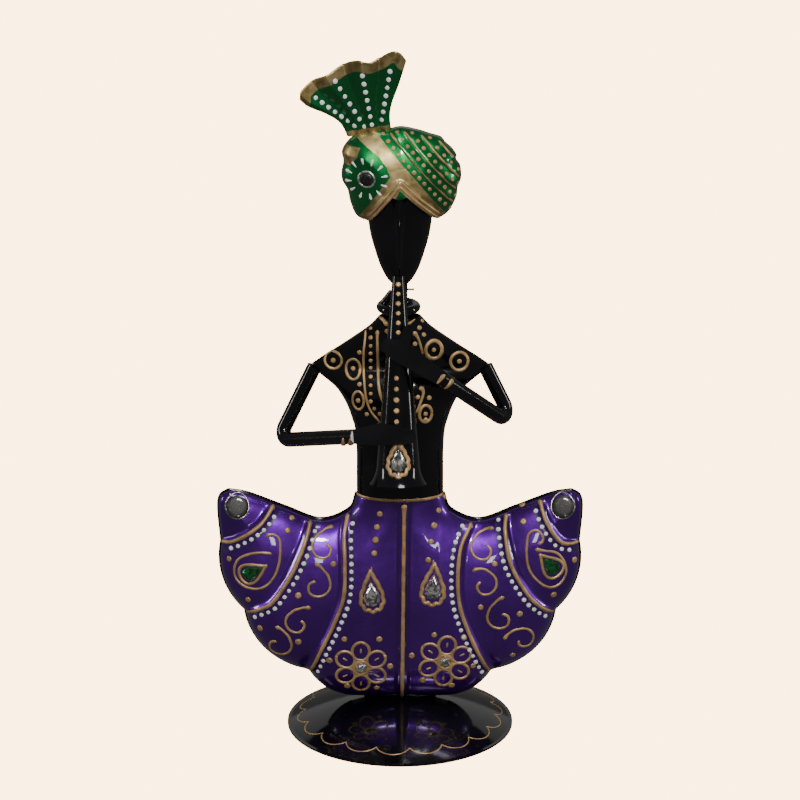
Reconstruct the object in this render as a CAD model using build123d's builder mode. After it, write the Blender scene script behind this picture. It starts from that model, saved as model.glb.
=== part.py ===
"""A painted sheet-iron figurine: a turbaned shehnai player in a flared skirt.

The figure is made of hollow pairs of thin sheets, a front and a back, that meet
at their outlines, with rod arms and a rod neck, all welded together and stood
on a domed disc.  Millimetres, +Z up, the figure faces -Y.  The origin is the
centre of the disc on the floor.
"""
import math
import os

from build123d import *

# ---------------------------------------------------------------- dimensions
# Overall
base_diameter = 108.0  # the domed disc
base_rise = 12.0  # floor to the disc's crown
base_foot = 1.6  # width of the flat that the disc's rim rests on
body_back = 6.0  # the figure's plane, behind the disc's centre
sheet = 1.0  # gauge of every sheet

# Skirt
skirt_width = 172.0
skirt_height = 103.0  # weld on the disc to the waist line
skirt_depth = 13.0  # rise of each sheet from the figure's plane
weld_gap = 0.15  # the disc to the skirt's lower edge, under the weld
weld_width = 5.2
weld_height = 3.4
weld_length = 34.4
skirt_bevel = 50.0  # degrees, how steeply the upper edges close

# Torso
waist_width = 41.0
shoulder_width = 84.0
torso_height = 88.0
torso_depth = 11.5

# Neck and head
neck_diameter = 7.0
neck_length = 15.5  # collar to chin
neck_socket = 20.0  # length of the neck rod inside the torso
ring_diameter = 20.6  # outside of the ring round the neck
ring_wire = 4.2
ring_shift = 0.7  # the ring hangs a little to one side of the neck
ring_height = 4.3  # collar to the ring's middle
tie_wire = 1.0
tie_reach = 3.2  # the wire end that stands out of the neck
head_width = 30.0
head_height = 47.0
head_depth = 8.0
mouth_rise = 7.5  # chin to the mouth
mouth_gap = 4.0  # face to the middle of the pipe's mouthpiece
mouth_shift = 0.8  # the pipe is held a little to one side

# Turban and crest
turban_width = 55.0
turban_height = 45.0
turban_depth = 12.5
turban_rise = 30.1  # chin to the turban's lower edge
brim_rise = 19.5  # the opening's peak over the turban's lower edge
crest_width = 47.0
crest_height = 36.0  # turban's top to the crest's peak
crest_sheet = 1.2

# Arms
arm_diameter = 7.0
elbow_bend = 4.4  # radius of the rod's middle line
arm_socket = 2.0  # how far each rod runs into its shoulder
right_elbow_reach = 15.4  # sideways from the shoulder to the elbow
right_elbow_drop = 36.0
left_elbow_reach = 12.3
left_elbow_drop = 29.5
elbow_lead = 2.0  # the elbows' place in front of the figure's plane
palm_width = 10.6
palm_thickness = 2.6
palm_gap = 0.1  # lacquer between a palm and the pipe
upper_palm_drop = 33.5  # mouth to the upper hand, along the pipe
lower_palm_drop = 73.2

# Shehnai
pipe_length = 97.0  # mouth to bell rim
pipe_lean = 12.0  # degrees forward of upright
pipe_mouth = 5.4  # outside diameter at the mouth
pipe_end = 20.0  # outside diameter where the bell begins
pipe_wall = 1.0
bell_diameter = 26.6
bell_length = 10.0
pipe_stone_drop = 85.8  # mouth to the stone on the pipe

# Stones and mirrors
mirror_diameter = 10.6
turban_mirror_diameter = 6.0
mirror_thickness = 1.2
stone_thickness = 3.0
drop_length = 13.0
drop_width = 8.0
eye_length = 9.0
eye_width = 7.0
stone_tip = 0.6  # radius of a drop's point
flower_stone_diameter = 5.0
glue = 0.15  # film between a stone's back and the sheet
turban_glue = 0.45  # the same under the turban's flat mirror
past = 2.0  # how far a cutting shape runs past what it cuts

# ------------------------------------------------------------ derived levels
base_radius = base_diameter / 2
crown = base_rise - sheet  # rise of the disc's arc over its rim
dome_reach = base_radius - base_foot
dome_radius = (dome_reach**2 + crown**2) / (2 * crown)
half_waist = waist_width / 2
half_skirt = skirt_width / 2
half_shoulder = shoulder_width / 2


def dome_z(reach, inset=0.0):
    """Height of the disc's upper surface, or of one inset below it, so far from its centre."""
    return base_rise - dome_radius + math.sqrt((dome_radius - inset) ** 2 - reach**2)


seat_z = dome_z(body_back) + weld_gap
waist_z = seat_z + skirt_height
collar_z = waist_z + torso_height
chin_z = collar_z + neck_length
brow_z = chin_z + head_height
turban_z = chin_z + turban_rise
turban_top_z = turban_z + turban_height
figure = Plane.XZ.offset(-body_back)  # local x is X, local y is Z, and out is -Y


# ------------------------------------------------------------------ the base
hollow_reach = math.sqrt((dome_radius - sheet) ** 2 - (dome_radius - base_rise) ** 2)
with BuildPart() as base_disc:
    with BuildSketch(Plane.XZ):
        with BuildLine():
            ThreePointArc((0, base_rise), (dome_reach / 2, dome_z(dome_reach / 2)), (dome_reach, sheet))
            Polyline((dome_reach, sheet), (base_radius, sheet), (base_radius, 0), (hollow_reach, 0))
            ThreePointArc(
                (hollow_reach, 0),
                (hollow_reach / 2, dome_z(hollow_reach / 2, sheet)),
                (0, base_rise - sheet),
            )
            Line((0, base_rise - sheet), (0, base_rise))
        make_face()
    revolve(axis=Axis.Z)


# ----------------------------------------------------------------- the skirt
def skirt_point(across, up):
    """A place on the skirt: across from the waist's edge to the tip, up from the seat."""
    return (half_waist + across * (half_skirt - half_waist), seat_z + up * skirt_height)


def skirt_outline(inset):
    """The scalloped fan, from the waist out to the upswept tips and down to the seat.

    An inset draws every corner in towards the middle of its own half of the fan.
    """
    hub = Vector(*skirt_point(0.2, 0.6))

    def place(across, up):
        corner = Vector(*skirt_point(across, up))
        return corner + (hub - corner).normalized() * inset

    waist, tip_side, weld = place(0, 1), place(1, 0.92), place(0.05, 0)
    notches = [place(0.98, 0.765), place(0.815, 0.425), place(0.35, 0.128)]
    with BuildLine() as edge:
        Spline(waist, place(0.055, 0.92), place(0.26, 0.87), place(0.78, 0.995))
        ThreePointArc(place(0.78, 0.995), place(0.925, 1.012), tip_side)
        Line(tip_side, notches[0])
        ThreePointArc(notches[0], place(0.965, 0.575), notches[1])
        ThreePointArc(notches[1], place(0.675, 0.235), notches[2])
        ThreePointArc(notches[2], place(0.24, 0.045), weld)
        Line(weld, (0, weld.Y))
        mirror(about=Plane.YZ)
        Line(waist, (-waist.X, waist.Y))
    return edge.edges()


fan_middle = (0, seat_z + 0.85 * skirt_height)
fan_reach = half_skirt + 6
skirt_sphere = (fan_reach**2 + skirt_depth**2) / (2 * skirt_depth)


def skirt_front_y(x, z):
    """Y of the front sheet's outer surface."""
    away = (x - fan_middle[0]) ** 2 + (z - fan_middle[1]) ** 2
    return body_back - skirt_depth + skirt_sphere - math.sqrt(skirt_sphere**2 - away)


def bevel_plane(side, inset):
    """The plane that closes the skirt's upper edge, from the dip to the tip, on one side."""
    dip, rise = skirt_point(0.26, 0.87), skirt_point(0.78, 0.995)
    along = Vector(side * (rise[0] - dip[0]), 0, rise[1] - dip[1]).normalized()
    up = Vector(-side * along.Z, 0, abs(along.X))
    lean = math.radians(skirt_bevel)
    normal = up * math.cos(lean) + Vector(0, -1, 0) * math.sin(lean)
    start = Vector(side * dip[0], body_back - sheet, dip[1]) - normal * inset
    return Plane(origin=start, x_dir=along, z_dir=normal)


def skirt_core(inset):
    """The front half of the skirt's solid shape, moved in from its surface by inset."""
    with BuildPart() as core:
        with BuildSketch(figure):
            make_face(skirt_outline(inset))
        extrude(amount=skirt_depth + past)
        with Locations((fan_middle[0], body_back - skirt_depth + skirt_sphere, fan_middle[1])):
            Sphere(skirt_sphere - inset, mode=Mode.INTERSECT)
        for side in (-1, 1):
            with BuildSketch(bevel_plane(side, inset)):
                near = half_waist - skirt_point(0.26, 0.87)[0] + inset
                with Locations((near, 0)):
                    Rectangle(2 * half_skirt, 4 * skirt_depth, align=(Align.MIN, Align.CENTER))
            extrude(amount=3 * skirt_depth, mode=Mode.SUBTRACT)
    return core.part


skirt_solid, skirt_hollow = skirt_core(0), skirt_core(sheet)
with BuildPart() as skirt_front:
    add(skirt_solid)
    add(skirt_hollow, mode=Mode.SUBTRACT)

with BuildPart() as skirt_back:
    mirror(skirt_front.part, about=figure)

with BuildPart() as base_weld:
    with BuildSketch(Plane.YZ):
        with Locations((body_back, seat_z)):
            Ellipse(weld_width / 2, weld_height / 2)
    extrude(amount=weld_length / 2, both=True)
    for neighbour in (base_disc, skirt_front, skirt_back):
        add(neighbour.part, mode=Mode.SUBTRACT)


# ------------------------------------------------- bodies stacked of ellipses
def stack(rows, inset=0.0):
    """A solid through level ellipses, each (height, half width, half depth)."""
    with BuildPart() as body:
        for height, wide, deep in rows:
            with BuildSketch(Plane.XY.offset(height)):
                with Locations((0, body_back)):
                    Ellipse(wide - inset, deep - inset)
        loft(ruled=True)
    return body.part


flare = half_shoulder - half_waist
torso_rows = [
    (waist_z + up * torso_height, half_waist + wide * flare, deep * torso_depth)
    for up, wide, deep in (
        (0.0, 0.0, 1.0),
        (0.25, 0.0, 1.0),
        (0.42, 0.09, 1.0),
        (0.51, 0.22, 1.0),
        (0.6, 0.44, 0.92),
        (0.67, 0.76, 0.7),
        (0.72, 1.0, 0.45),
        (0.76, 0.82, 0.55),
        (0.85, 0.26, 0.72),
        (0.94, -0.26, 0.62),
        (1.0, -0.5, 0.5),
    )
]

# The two rod arms: shoulder, elbow and the wrist where each rod is hammered flat.
pipe_dir = Vector(0, -math.sin(math.radians(pipe_lean)), -math.cos(math.radians(pipe_lean)))
mouth = Vector(-mouth_shift, body_back - head_depth - mouth_gap, chin_z + mouth_rise)
pipe_slope = (pipe_end - pipe_mouth) / 2 / (pipe_length - bell_length)
front_lean = pipe_lean + math.degrees(math.atan(pipe_slope))


def palm_plane(down):
    """The plane of a palm lying on the pipe's front, so far down from the mouth."""
    radius = pipe_mouth / 2 + down * pipe_slope
    lean = math.radians(front_lean)
    normal = Vector(0, -math.cos(lean), math.sin(lean))
    touch = mouth + pipe_dir * down + normal * (radius * math.cos(math.atan(pipe_slope)) + palm_gap)
    return Plane(origin=touch, x_dir=(1, 0, 0), z_dir=normal)


upper_palm = palm_plane(upper_palm_drop)
lower_palm = palm_plane(lower_palm_drop)
upper_wrist = (0.95 * half_waist, -0.85 * palm_width * 1.5)
lower_wrist = (-0.95 * half_waist, -0.1 * palm_width)
shoulder_z = waist_z + 0.715 * torso_height


def on_plane(plane, point, out=0.0):
    """A point given on a plane, in world coordinates."""
    return plane.from_local_coords(Vector(point[0], point[1], out))


def arm_rod(side, elbow_reach, elbow_drop, wrist):
    """The rod of one arm, from inside the shoulder's stub round the elbow to the wrist."""
    shoulder = Vector(side * (half_shoulder - arm_socket), body_back, shoulder_z)
    elbow = Vector(side * (half_shoulder + elbow_reach), body_back - elbow_lead, shoulder_z - elbow_drop)
    with BuildPart() as rod:
        with BuildLine() as path:
            FilletPolyline(shoulder, elbow, wrist, radius=elbow_bend)
        start = path.wires()[0]
        with BuildSketch(Plane(origin=start @ 0, z_dir=start % 0)):
            Circle(arm_diameter / 2)
        sweep(path=path.wires()[0])
    return rod.part


with BuildPart() as arm_right:
    lower_end = on_plane(lower_palm, lower_wrist, palm_thickness / 2)
    add(arm_rod(-1, right_elbow_reach, right_elbow_drop, lower_end))
    with BuildSketch(lower_palm):
        with Locations(lower_wrist):
            Circle(arm_diameter / 2)
        with Locations((-0.35 * half_waist, 0)):
            Circle(palm_width / 2)
        with Locations((0.24 * half_waist, -0.1 * palm_width)):
            Circle(0.32 * palm_width)
        make_hull()
    extrude(amount=palm_thickness)

with BuildPart() as arm_left:
    upper_end = on_plane(upper_palm, upper_wrist, palm_thickness / 2)
    add(arm_rod(1, left_elbow_reach, left_elbow_drop, upper_end))
    with BuildSketch(upper_palm):
        with Locations(upper_wrist):
            Circle(arm_diameter / 2)
        with Locations((0.06 * half_waist, -0.15 * palm_width)):
            Circle(palm_width / 2)
        with Locations((-0.22 * half_waist, 0.1 * palm_width)):
            Circle(0.34 * palm_width)
        make_hull()
    extrude(amount=palm_thickness)
    with BuildSketch(upper_palm):
        with Locations((0.2 * half_waist, 0.85 * palm_width)):
            Circle(0.16 * palm_width)
        with Locations((0.12 * half_waist, 0)):
            Circle(0.3 * palm_width)
        make_hull()
    extrude(amount=palm_thickness)

torso_solid, torso_hollow = stack(torso_rows), stack(torso_rows, sheet)
with BuildPart() as torso_front:
    add(torso_solid)
    split(bisect_by=figure, keep=Keep.TOP)
    for taken in (torso_hollow, arm_right.part, arm_left.part):
        add(taken, mode=Mode.SUBTRACT)

with BuildPart() as torso_back:
    add(torso_solid)
    split(bisect_by=figure, keep=Keep.BOTTOM)
    for taken in (torso_hollow, arm_right.part, arm_left.part):
        add(taken, mode=Mode.SUBTRACT)


# ------------------------------------------------------------ neck and head
with BuildPart() as neck_rod:
    with BuildSketch(Plane.XY.offset(collar_z - neck_socket)):
        with Locations((0, body_back)):
            Circle(neck_diameter / 2)
    extrude(amount=neck_socket + neck_length)

ring_middle = Vector(-ring_shift, body_back, collar_z + ring_height)
ring_radius = (ring_diameter - ring_wire) / 2
with BuildPart() as neck_ring:
    with Locations(ring_middle):
        Torus(ring_radius, ring_wire / 2)
    tail_start = ring_middle + Vector(-ring_radius, 0, 0)
    tail_end = Vector(-neck_diameter / 2, body_back, chin_z - ring_wire)
    with BuildSketch(Plane(origin=tail_start, z_dir=tail_end - tail_start)):
        Circle(0.46 * ring_wire)
    extrude(amount=(tail_end - tail_start).length)
    add(neck_rod.part, mode=Mode.SUBTRACT)

with BuildPart() as neck_tie:
    with BuildSketch(Plane.YZ.offset(neck_diameter / 2)):
        with Locations((body_back, chin_z - 0.18 * neck_length)):
            Circle(tie_wire / 2)
    extrude(amount=tie_reach)

head_rows = [
    (chin_z + up * head_height, wide * head_width / 2, deep * head_depth)
    for up, wide, deep in (
        (0.0, 0.22, 0.45),
        (0.06, 0.4, 0.6),
        (0.19, 0.61, 0.78),
        (0.4, 0.82, 0.93),
        (0.58, 0.95, 1.0),
        (0.8, 1.0, 1.0),
        (1.0, 0.9, 0.85),
    )
]

head_solid, head_hollow = stack(head_rows), stack(head_rows[1:], sheet)
with BuildPart() as head_front:
    add(head_solid)
    split(bisect_by=figure, keep=Keep.TOP)
    add(head_hollow, mode=Mode.SUBTRACT)

with BuildPart() as head_back:
    mirror(head_front.part, about=figure)


# --------------------------------------------------------- turban and crest
turban_rows = [
    (turban_z + up * turban_height, wide * turban_width / 2, deep * turban_depth)
    for up, wide, deep in (
        (0.0, 0.56, 0.8),
        (0.08, 0.77, 0.92),
        (0.22, 0.87, 0.98),
        (0.35, 0.94, 1.0),
        (0.48, 1.0, 1.0),
        (0.62, 0.98, 0.97),
        (0.78, 0.91, 0.87),
        (0.88, 0.8, 0.74),
        (0.95, 0.58, 0.56),
        (1.0, 0.2, 0.25),
    )
]

turban_solid, turban_hollow = stack(turban_rows), stack(turban_rows[:-1], sheet)
with BuildPart() as turban_front:
    add(turban_solid)
    split(bisect_by=figure, keep=Keep.TOP)
    add(turban_hollow, mode=Mode.SUBTRACT)
    with BuildSketch(figure):
        half_brim = 0.605 * turban_width / 2 * (brim_rise + past) / brim_rise
        Polygon(
            (0, turban_z + brim_rise),
            (-half_brim, turban_z - past),
            (half_brim, turban_z - past),
            align=None,
        )
    extrude(amount=turban_depth + past, mode=Mode.SUBTRACT)

with BuildPart() as turban_back:
    add(turban_solid)
    split(bisect_by=figure, keep=Keep.BOTTOM)
    add(turban_hollow, mode=Mode.SUBTRACT)


def crest_point(across, up):
    """A place on the crest: across from its inner side outwards, up from the turban's top."""
    return (2.6 - across * crest_width, turban_top_z + up * crest_height)


with BuildPart() as turban_crest:
    with BuildSketch(figure):
        with BuildLine():
            inner = ((0.15, -0.1), (0.155, 0.13), (0.11, 0.48), (0, 0.85))
            Spline(*(crest_point(across, up) for across, up in inner))
            ThreePointArc(crest_point(0, 0.85), crest_point(0.02, 0.94), crest_point(0.115, 1.0))
            ThreePointArc(crest_point(0.115, 1.0), crest_point(0.22, 0.89), crest_point(0.345, 0.835))
            ThreePointArc(crest_point(0.345, 0.835), crest_point(0.54, 0.84), crest_point(0.72, 0.7))
            ThreePointArc(crest_point(0.72, 0.7), crest_point(0.85, 0.6), crest_point(0.975, 0.49))
            ThreePointArc(crest_point(0.975, 0.49), crest_point(1.0, 0.39), crest_point(0.93, 0.3))
            outer = ((0.93, 0.3), (0.74, 0.17), (0.6, 0.05), (0.5, -0.1))
            Spline(*(crest_point(across, up) for across, up in outer))
            Line(crest_point(0.5, -0.1), crest_point(0.15, -0.1))
        make_face()
    extrude(amount=crest_sheet / 2, both=True)
    add(turban_solid, mode=Mode.SUBTRACT)


# ------------------------------------------------------------------ shehnai
pipe_side = Plane(
    origin=mouth,
    x_dir=(1, 0, 0),
    z_dir=(0, math.cos(math.radians(pipe_lean)), -math.sin(math.radians(pipe_lean))),
)
tube_length = pipe_length - bell_length

with BuildPart() as pipe_tube:
    with BuildSketch(pipe_side):
        Polygon(
            (pipe_mouth / 2 - pipe_wall, 0),
            (pipe_mouth / 2, 0),
            (pipe_end / 2, tube_length),
            (pipe_end / 2 - pipe_wall, tube_length),
            align=None,
        )
    revolve(axis=Axis(mouth, pipe_dir))

with BuildPart() as pipe_bell:
    with BuildSketch(pipe_side):
        with BuildLine():
            start, rim = (pipe_end / 2, tube_length), (bell_diameter / 2, pipe_length)
            middle = ((start[0] + rim[0]) / 2 - 0.8, (start[1] + rim[1]) / 2 + 0.4)
            ThreePointArc(start, middle, rim)
            Line(rim, (rim[0] - pipe_wall, rim[1]))
            ThreePointArc(
                (rim[0] - pipe_wall, rim[1]),
                (middle[0] - pipe_wall, middle[1] + 0.3),
                (start[0] - pipe_wall, start[1]),
            )
            Line((start[0] - pipe_wall, start[1]), start)
        make_face()
    revolve(axis=Axis(mouth, pipe_dir))


# -------------------------------------------------------- mirrors and stones
def skirt_seat(x, z):
    """A plane lying on the skirt's front at x, z, its local z pointing outwards."""
    away = Vector(x - fan_middle[0], 0, z - fan_middle[1])
    out = Vector(away.X, -math.sqrt(skirt_sphere**2 - away.length**2), away.Z).normalized()
    return Plane(origin=Vector(x, skirt_front_y(x, z), z) + out * glue, x_dir=(1, 0, 0), z_dir=out)


def drop_stones(places, length, width):
    """Drop-shaped stones on the skirt, each (x, z, direction of its point in degrees)."""
    with BuildPart() as stones:
        for x, z, turn in places:
            seat = skirt_seat(x, z)
            reach = length - width / 2 - stone_tip
            point = (reach * math.cos(math.radians(turn)), reach * math.sin(math.radians(turn)))
            with BuildSketch(seat):
                Circle(width / 2)
                with Locations(point):
                    Circle(stone_tip)
                make_hull()
            extrude(amount=stone_thickness)
    return stones.part


def round_stones(seats, diameter, thickness):
    """Round stones or mirrors, one on each seat."""
    with BuildPart() as discs:
        for seat in seats:
            with BuildSketch(seat):
                Circle(diameter / 2)
            extrude(amount=thickness)
    return discs.part


mirror_across, mirror_up = 0.86, 0.95
mirror_seats = [
    skirt_seat(side * skirt_point(mirror_across, 0)[0], skirt_point(0, mirror_up)[1]) for side in (-1, 1)
]
with BuildPart() as skirt_mirrors:
    add(round_stones(mirror_seats, mirror_diameter, mirror_thickness))

with BuildPart() as clear_stones:
    add(drop_stones([(-0.65 * half_waist, seat_z + 0.54 * skirt_height, 90),
                     (0.76 * half_waist, seat_z + 0.57 * skirt_height, 90)], drop_length, drop_width))

with BuildPart() as green_stones:
    add(drop_stones([(-0.815 * half_skirt, seat_z + 0.655 * skirt_height, 25),
                     (0.83 * half_skirt, seat_z + 0.685 * skirt_height, 135)], eye_length, eye_width))

with BuildPart() as flower_stones:
    add(round_stones([skirt_seat(-0.9 * half_waist, seat_z + 0.195 * skirt_height),
                      skirt_seat(1.04 * half_waist, seat_z + 0.22 * skirt_height)],
                     flower_stone_diameter, stone_thickness))

turban_mirror_x, turban_mirror_z = -0.55 * turban_width / 2, turban_z + 0.52 * turban_height
turban_bulge = turban_depth * math.sqrt(1 - (turban_mirror_x / (turban_width / 2)) ** 2)
turban_out = Vector(turban_mirror_x / (turban_width / 2) ** 2, -turban_bulge / turban_depth**2, 0)
turban_out = turban_out.normalized()
turban_seat = Plane(
    origin=Vector(turban_mirror_x, body_back - turban_bulge, turban_mirror_z) + turban_out * turban_glue,
    x_dir=(0, 0, 1),
    z_dir=turban_out,
)
with BuildPart() as turban_mirror:
    add(round_stones([turban_seat], turban_mirror_diameter, mirror_thickness))

with BuildPart() as pipe_stone:
    with BuildSketch(palm_plane(pipe_stone_drop)):
        with Locations((0, -0.18 * drop_length)):
            Circle(0.42 * drop_width)
        with Locations((0, 0.42 * drop_length)):
            Circle(stone_tip)
        make_hull()
    extrude(amount=stone_thickness)

os.makedirs("parts", exist_ok=True)
for name, sub_part in {
    "base_disc": base_disc,
    "base_weld": base_weld,
    "skirt_front": skirt_front,
    "skirt_back": skirt_back,
    "torso_front": torso_front,
    "torso_back": torso_back,
    "arm_right": arm_right,
    "arm_left": arm_left,
    "neck_rod": neck_rod,
    "neck_ring": neck_ring,
    "neck_tie": neck_tie,
    "head_front": head_front,
    "head_back": head_back,
    "turban_front": turban_front,
    "turban_back": turban_back,
    "turban_crest": turban_crest,
    "pipe_tube": pipe_tube,
    "pipe_bell": pipe_bell,
    "skirt_mirrors": skirt_mirrors,
    "clear_stones": clear_stones,
    "green_stones": green_stones,
    "flower_stones": flower_stones,
    "turban_mirror": turban_mirror,
    "pipe_stone": pipe_stone,
}.items():
    sub_part.part.label = name
    export_step(sub_part.part, f"parts/{name}.step")
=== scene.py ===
import math

import bmesh
import bpy
import numpy as np
from bpy.props import FloatProperty, FloatVectorProperty, IntProperty, PointerProperty
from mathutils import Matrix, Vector
from mathutils.bvhtree import BVHTree


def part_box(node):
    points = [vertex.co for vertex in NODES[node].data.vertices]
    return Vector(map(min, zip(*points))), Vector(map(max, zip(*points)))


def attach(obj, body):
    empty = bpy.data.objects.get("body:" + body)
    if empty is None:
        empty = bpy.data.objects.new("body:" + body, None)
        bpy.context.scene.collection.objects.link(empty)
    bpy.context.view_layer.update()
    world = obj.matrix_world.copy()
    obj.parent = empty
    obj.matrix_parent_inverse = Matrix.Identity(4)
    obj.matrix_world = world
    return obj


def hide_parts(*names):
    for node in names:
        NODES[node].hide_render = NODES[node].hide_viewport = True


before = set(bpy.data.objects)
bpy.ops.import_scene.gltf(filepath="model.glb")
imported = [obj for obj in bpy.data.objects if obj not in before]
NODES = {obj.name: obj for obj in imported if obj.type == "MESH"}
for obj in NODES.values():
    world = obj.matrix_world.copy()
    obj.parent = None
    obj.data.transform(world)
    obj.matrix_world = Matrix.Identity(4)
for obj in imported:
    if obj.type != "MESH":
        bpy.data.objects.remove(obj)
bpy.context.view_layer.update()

bl_info = {
    "name": "Painted Shehnai Player",
    "version": (1, 0, 0),
    "blender": (4, 5, 0),
    "location": "View3D > Sidebar > Shehnai Player",
    "description": "Builds the painted sheet-iron figurine round its solid frame",
    "category": "Object",
}

MM = 0.001
MIXED = {}  # the finishes made so far
HALVES = ((True, "front"), (False, "back"))
WELD_REACH = 0.04 * MM  # points of neighbouring patches closer than this become one


# ------------------------------------------------------------------ places
def span(node):
    """A solid's lowest and highest corners in millimetres."""
    low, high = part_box(node)
    return np.array(low) / MM, np.array(high) / MM


def levels(node):
    """The heights of a solid's foot and top in millimetres."""
    return [float(corner[2]) for corner in span(node)]


SEAM_Y = float(span("skirt_front")[1][1])  # the plane in which fronts and backs meet
SEAT_Z = levels("skirt_front")[0]
WAIST_Z, COLLAR_Z = levels("torso_front")
CHIN_Z, CROWN_Z = levels("head_front")
TURBAN_Z = levels("turban_front")[0]
BASE_RADIUS = float(span("base_disc")[1][0])
HALF_WAIST = 20.5
HALF_SKIRT = 86.0
TIP_CROWN, MIDDLE_CROWN = 6.0, 3.4  # the skirt's height off the seam at its tips, and what the middle adds
SHOULDER_SPREAD, TORSO_DEPTH = 21.5, 11.5
HALF_FACE, FACE_DEPTH = 15.0, 8.0
TURBAN_DEPTH, TURBAN_SWELL = 11.2, 1.3
SKIRT_RISE = WAIST_Z - SEAT_Z


def skirt_at(across, up):
    """A place on the skirt: across from the waist's edge to the tip, up from the seat."""
    return np.array((HALF_WAIST + across * (HALF_SKIRT - HALF_WAIST), SEAT_Z + up * SKIRT_RISE))


# ------------------------------------------------------------------- curves
def smooth_curve(points, count):
    """Evenly spaced places on a smooth curve through the points."""
    p = np.asarray(points, float)
    tangents = np.gradient(p, axis=0)
    t = np.linspace(0, 1, 24, endpoint=False)[:, None]
    pieces = []
    for a, b, ta, tb in zip(p, p[1:], tangents, tangents[1:]):
        pieces.append(
            (2 * t**3 - 3 * t**2 + 1) * a + (t**3 - 2 * t**2 + t) * ta
            + (3 * t**2 - 2 * t**3) * b + (t**3 - t**2) * tb
        )
    return even(np.vstack(pieces + [p[-1:]]), count)


def even(line, count):
    """The same line with its points evenly spaced."""
    steps = np.linalg.norm(np.diff(line, axis=0), axis=1)
    reach = np.concatenate([[0], np.cumsum(steps)])
    marks = np.linspace(0, reach[-1], count)
    return np.stack([np.interp(marks, reach, line[:, k]) for k in range(line.shape[1])], axis=1)


def arc(start, middle, end, count=60):
    """Evenly spaced places on the arc through three points of a plane."""
    a, b, c = (complex(*p) for p in (start, middle, end))
    w = (c - a) / (b - a)
    centre = (b - a) * (w - abs(w) ** 2) / (2j * w.imag) + a
    first, last = np.angle(a - centre), np.angle(c - centre)
    through = (np.angle(b - centre) - first) % (2 * math.pi)
    sweep = (last - first) % (2 * math.pi)
    if through > sweep:
        sweep -= 2 * math.pi
    turn = centre + (a - centre) * np.exp(1j * np.linspace(0, sweep, count))
    return np.stack([turn.real, turn.imag], axis=1)


def closed(line):
    return np.vstack([line, line[:1]])


def mirrored(line):
    return np.asarray(line) * np.array((-1, 1))


def gap_to(points, line):
    """Each point's distance to a line of many short steps."""
    a, b = line[:-1], line[1:]
    d = b - a
    size = np.maximum((d**2).sum(1), 1e-9)
    best = np.full(len(points), 1e9)
    for start in range(0, len(points), 4000):
        p = points[start:start + 4000, None, :]
        t = np.clip(((p - a) * d).sum(2) / size, 0, 1)
        best[start:start + 4000] = np.sqrt(((p - a - t[..., None] * d) ** 2).sum(2)).min(1)
    return best


def edge_gap(points, line):
    """Each point's distance to a sheet's edge, exactly 0 on the edge itself."""
    gap = gap_to(points, line)
    gap[gap < 0.02] = 0
    return gap


def rounding(distance, width):
    """0 at an edge, rising as a quarter ellipse to 1 at the given width."""
    t = np.clip(distance / width, 0, 1)
    return np.sqrt(1 - (1 - t) ** 2)


def step_up(x, start, end):
    """A smooth rise from 0 at start to 1 at end."""
    t = np.clip((np.asarray(x, float) - start) / (end - start), 0, 1)
    return t * t * (3 - 2 * t)


# ------------------------------------------------------------------- meshes
def grid_quads(rows, cols, first=0, flip=False):
    """Faces of a grid of points stored row by row."""
    quads = []
    for r in range(rows - 1):
        for c in range(cols - 1):
            a = first + r * cols + c
            quad = (a, a + 1, a + cols + 1, a + cols)
            quads.append(quad[::-1] if flip else quad)
    return quads


def ring_quads(rings, count, first=0):
    """Faces between closed rings of points stored ring by ring."""
    quads = []
    for r in range(rings - 1):
        a, b = first + r * count, first + (r + 1) * count
        for k in range(count):
            d = (k + 1) % count
            quads.append((a + k, a + d, b + d, b + k))
    return quads


def new_piece(name, points, faces, material, smooth=True, marks=None):
    """A mesh object from points in millimetres, with per-point number attributes."""
    mesh = bpy.data.meshes.new(name)
    mesh.from_pydata((np.asarray(points) * MM).tolist(), [], faces)
    for label, values in (marks or {}).items():
        layer = mesh.attributes.new(label, "FLOAT", "POINT")
        layer.data.foreach_set("value", np.asarray(values, np.float32))
    mesh.polygons.foreach_set("use_smooth", [smooth] * len(mesh.polygons))
    mesh.materials.append(material)
    mesh.update()
    piece = bpy.data.objects.new(name, mesh)
    bpy.context.scene.collection.objects.link(piece)
    return piece


def bake_modifiers(piece):
    """Turns a piece's live modifiers into plain mesh."""
    graph = bpy.context.evaluated_depsgraph_get()
    mesh = bpy.data.meshes.new_from_object(
        piece.evaluated_get(graph), preserve_all_data_layers=True, depsgraph=graph)
    piece.modifiers.clear()
    piece.data = mesh
    return piece


def weld_points(piece):
    """Joins the points of neighbouring patches."""
    weld = piece.modifiers.new("Weld", "WELD")
    weld.merge_threshold = WELD_REACH
    return bake_modifiers(piece)


def thicken(piece, gauge):
    """Gives a sheet its gauge, inwards from its outer face."""
    solid = piece.modifiers.new("Gauge", "SOLIDIFY")
    solid.thickness = gauge
    solid.offset = -1
    solid.use_rim = True
    return bake_modifiers(piece)


def settle(piece, slot, *nodes):
    """Hangs a finished piece on the one body and hides the solids it stands for."""
    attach(piece, "root")
    if nodes:
        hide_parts(*nodes)


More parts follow.
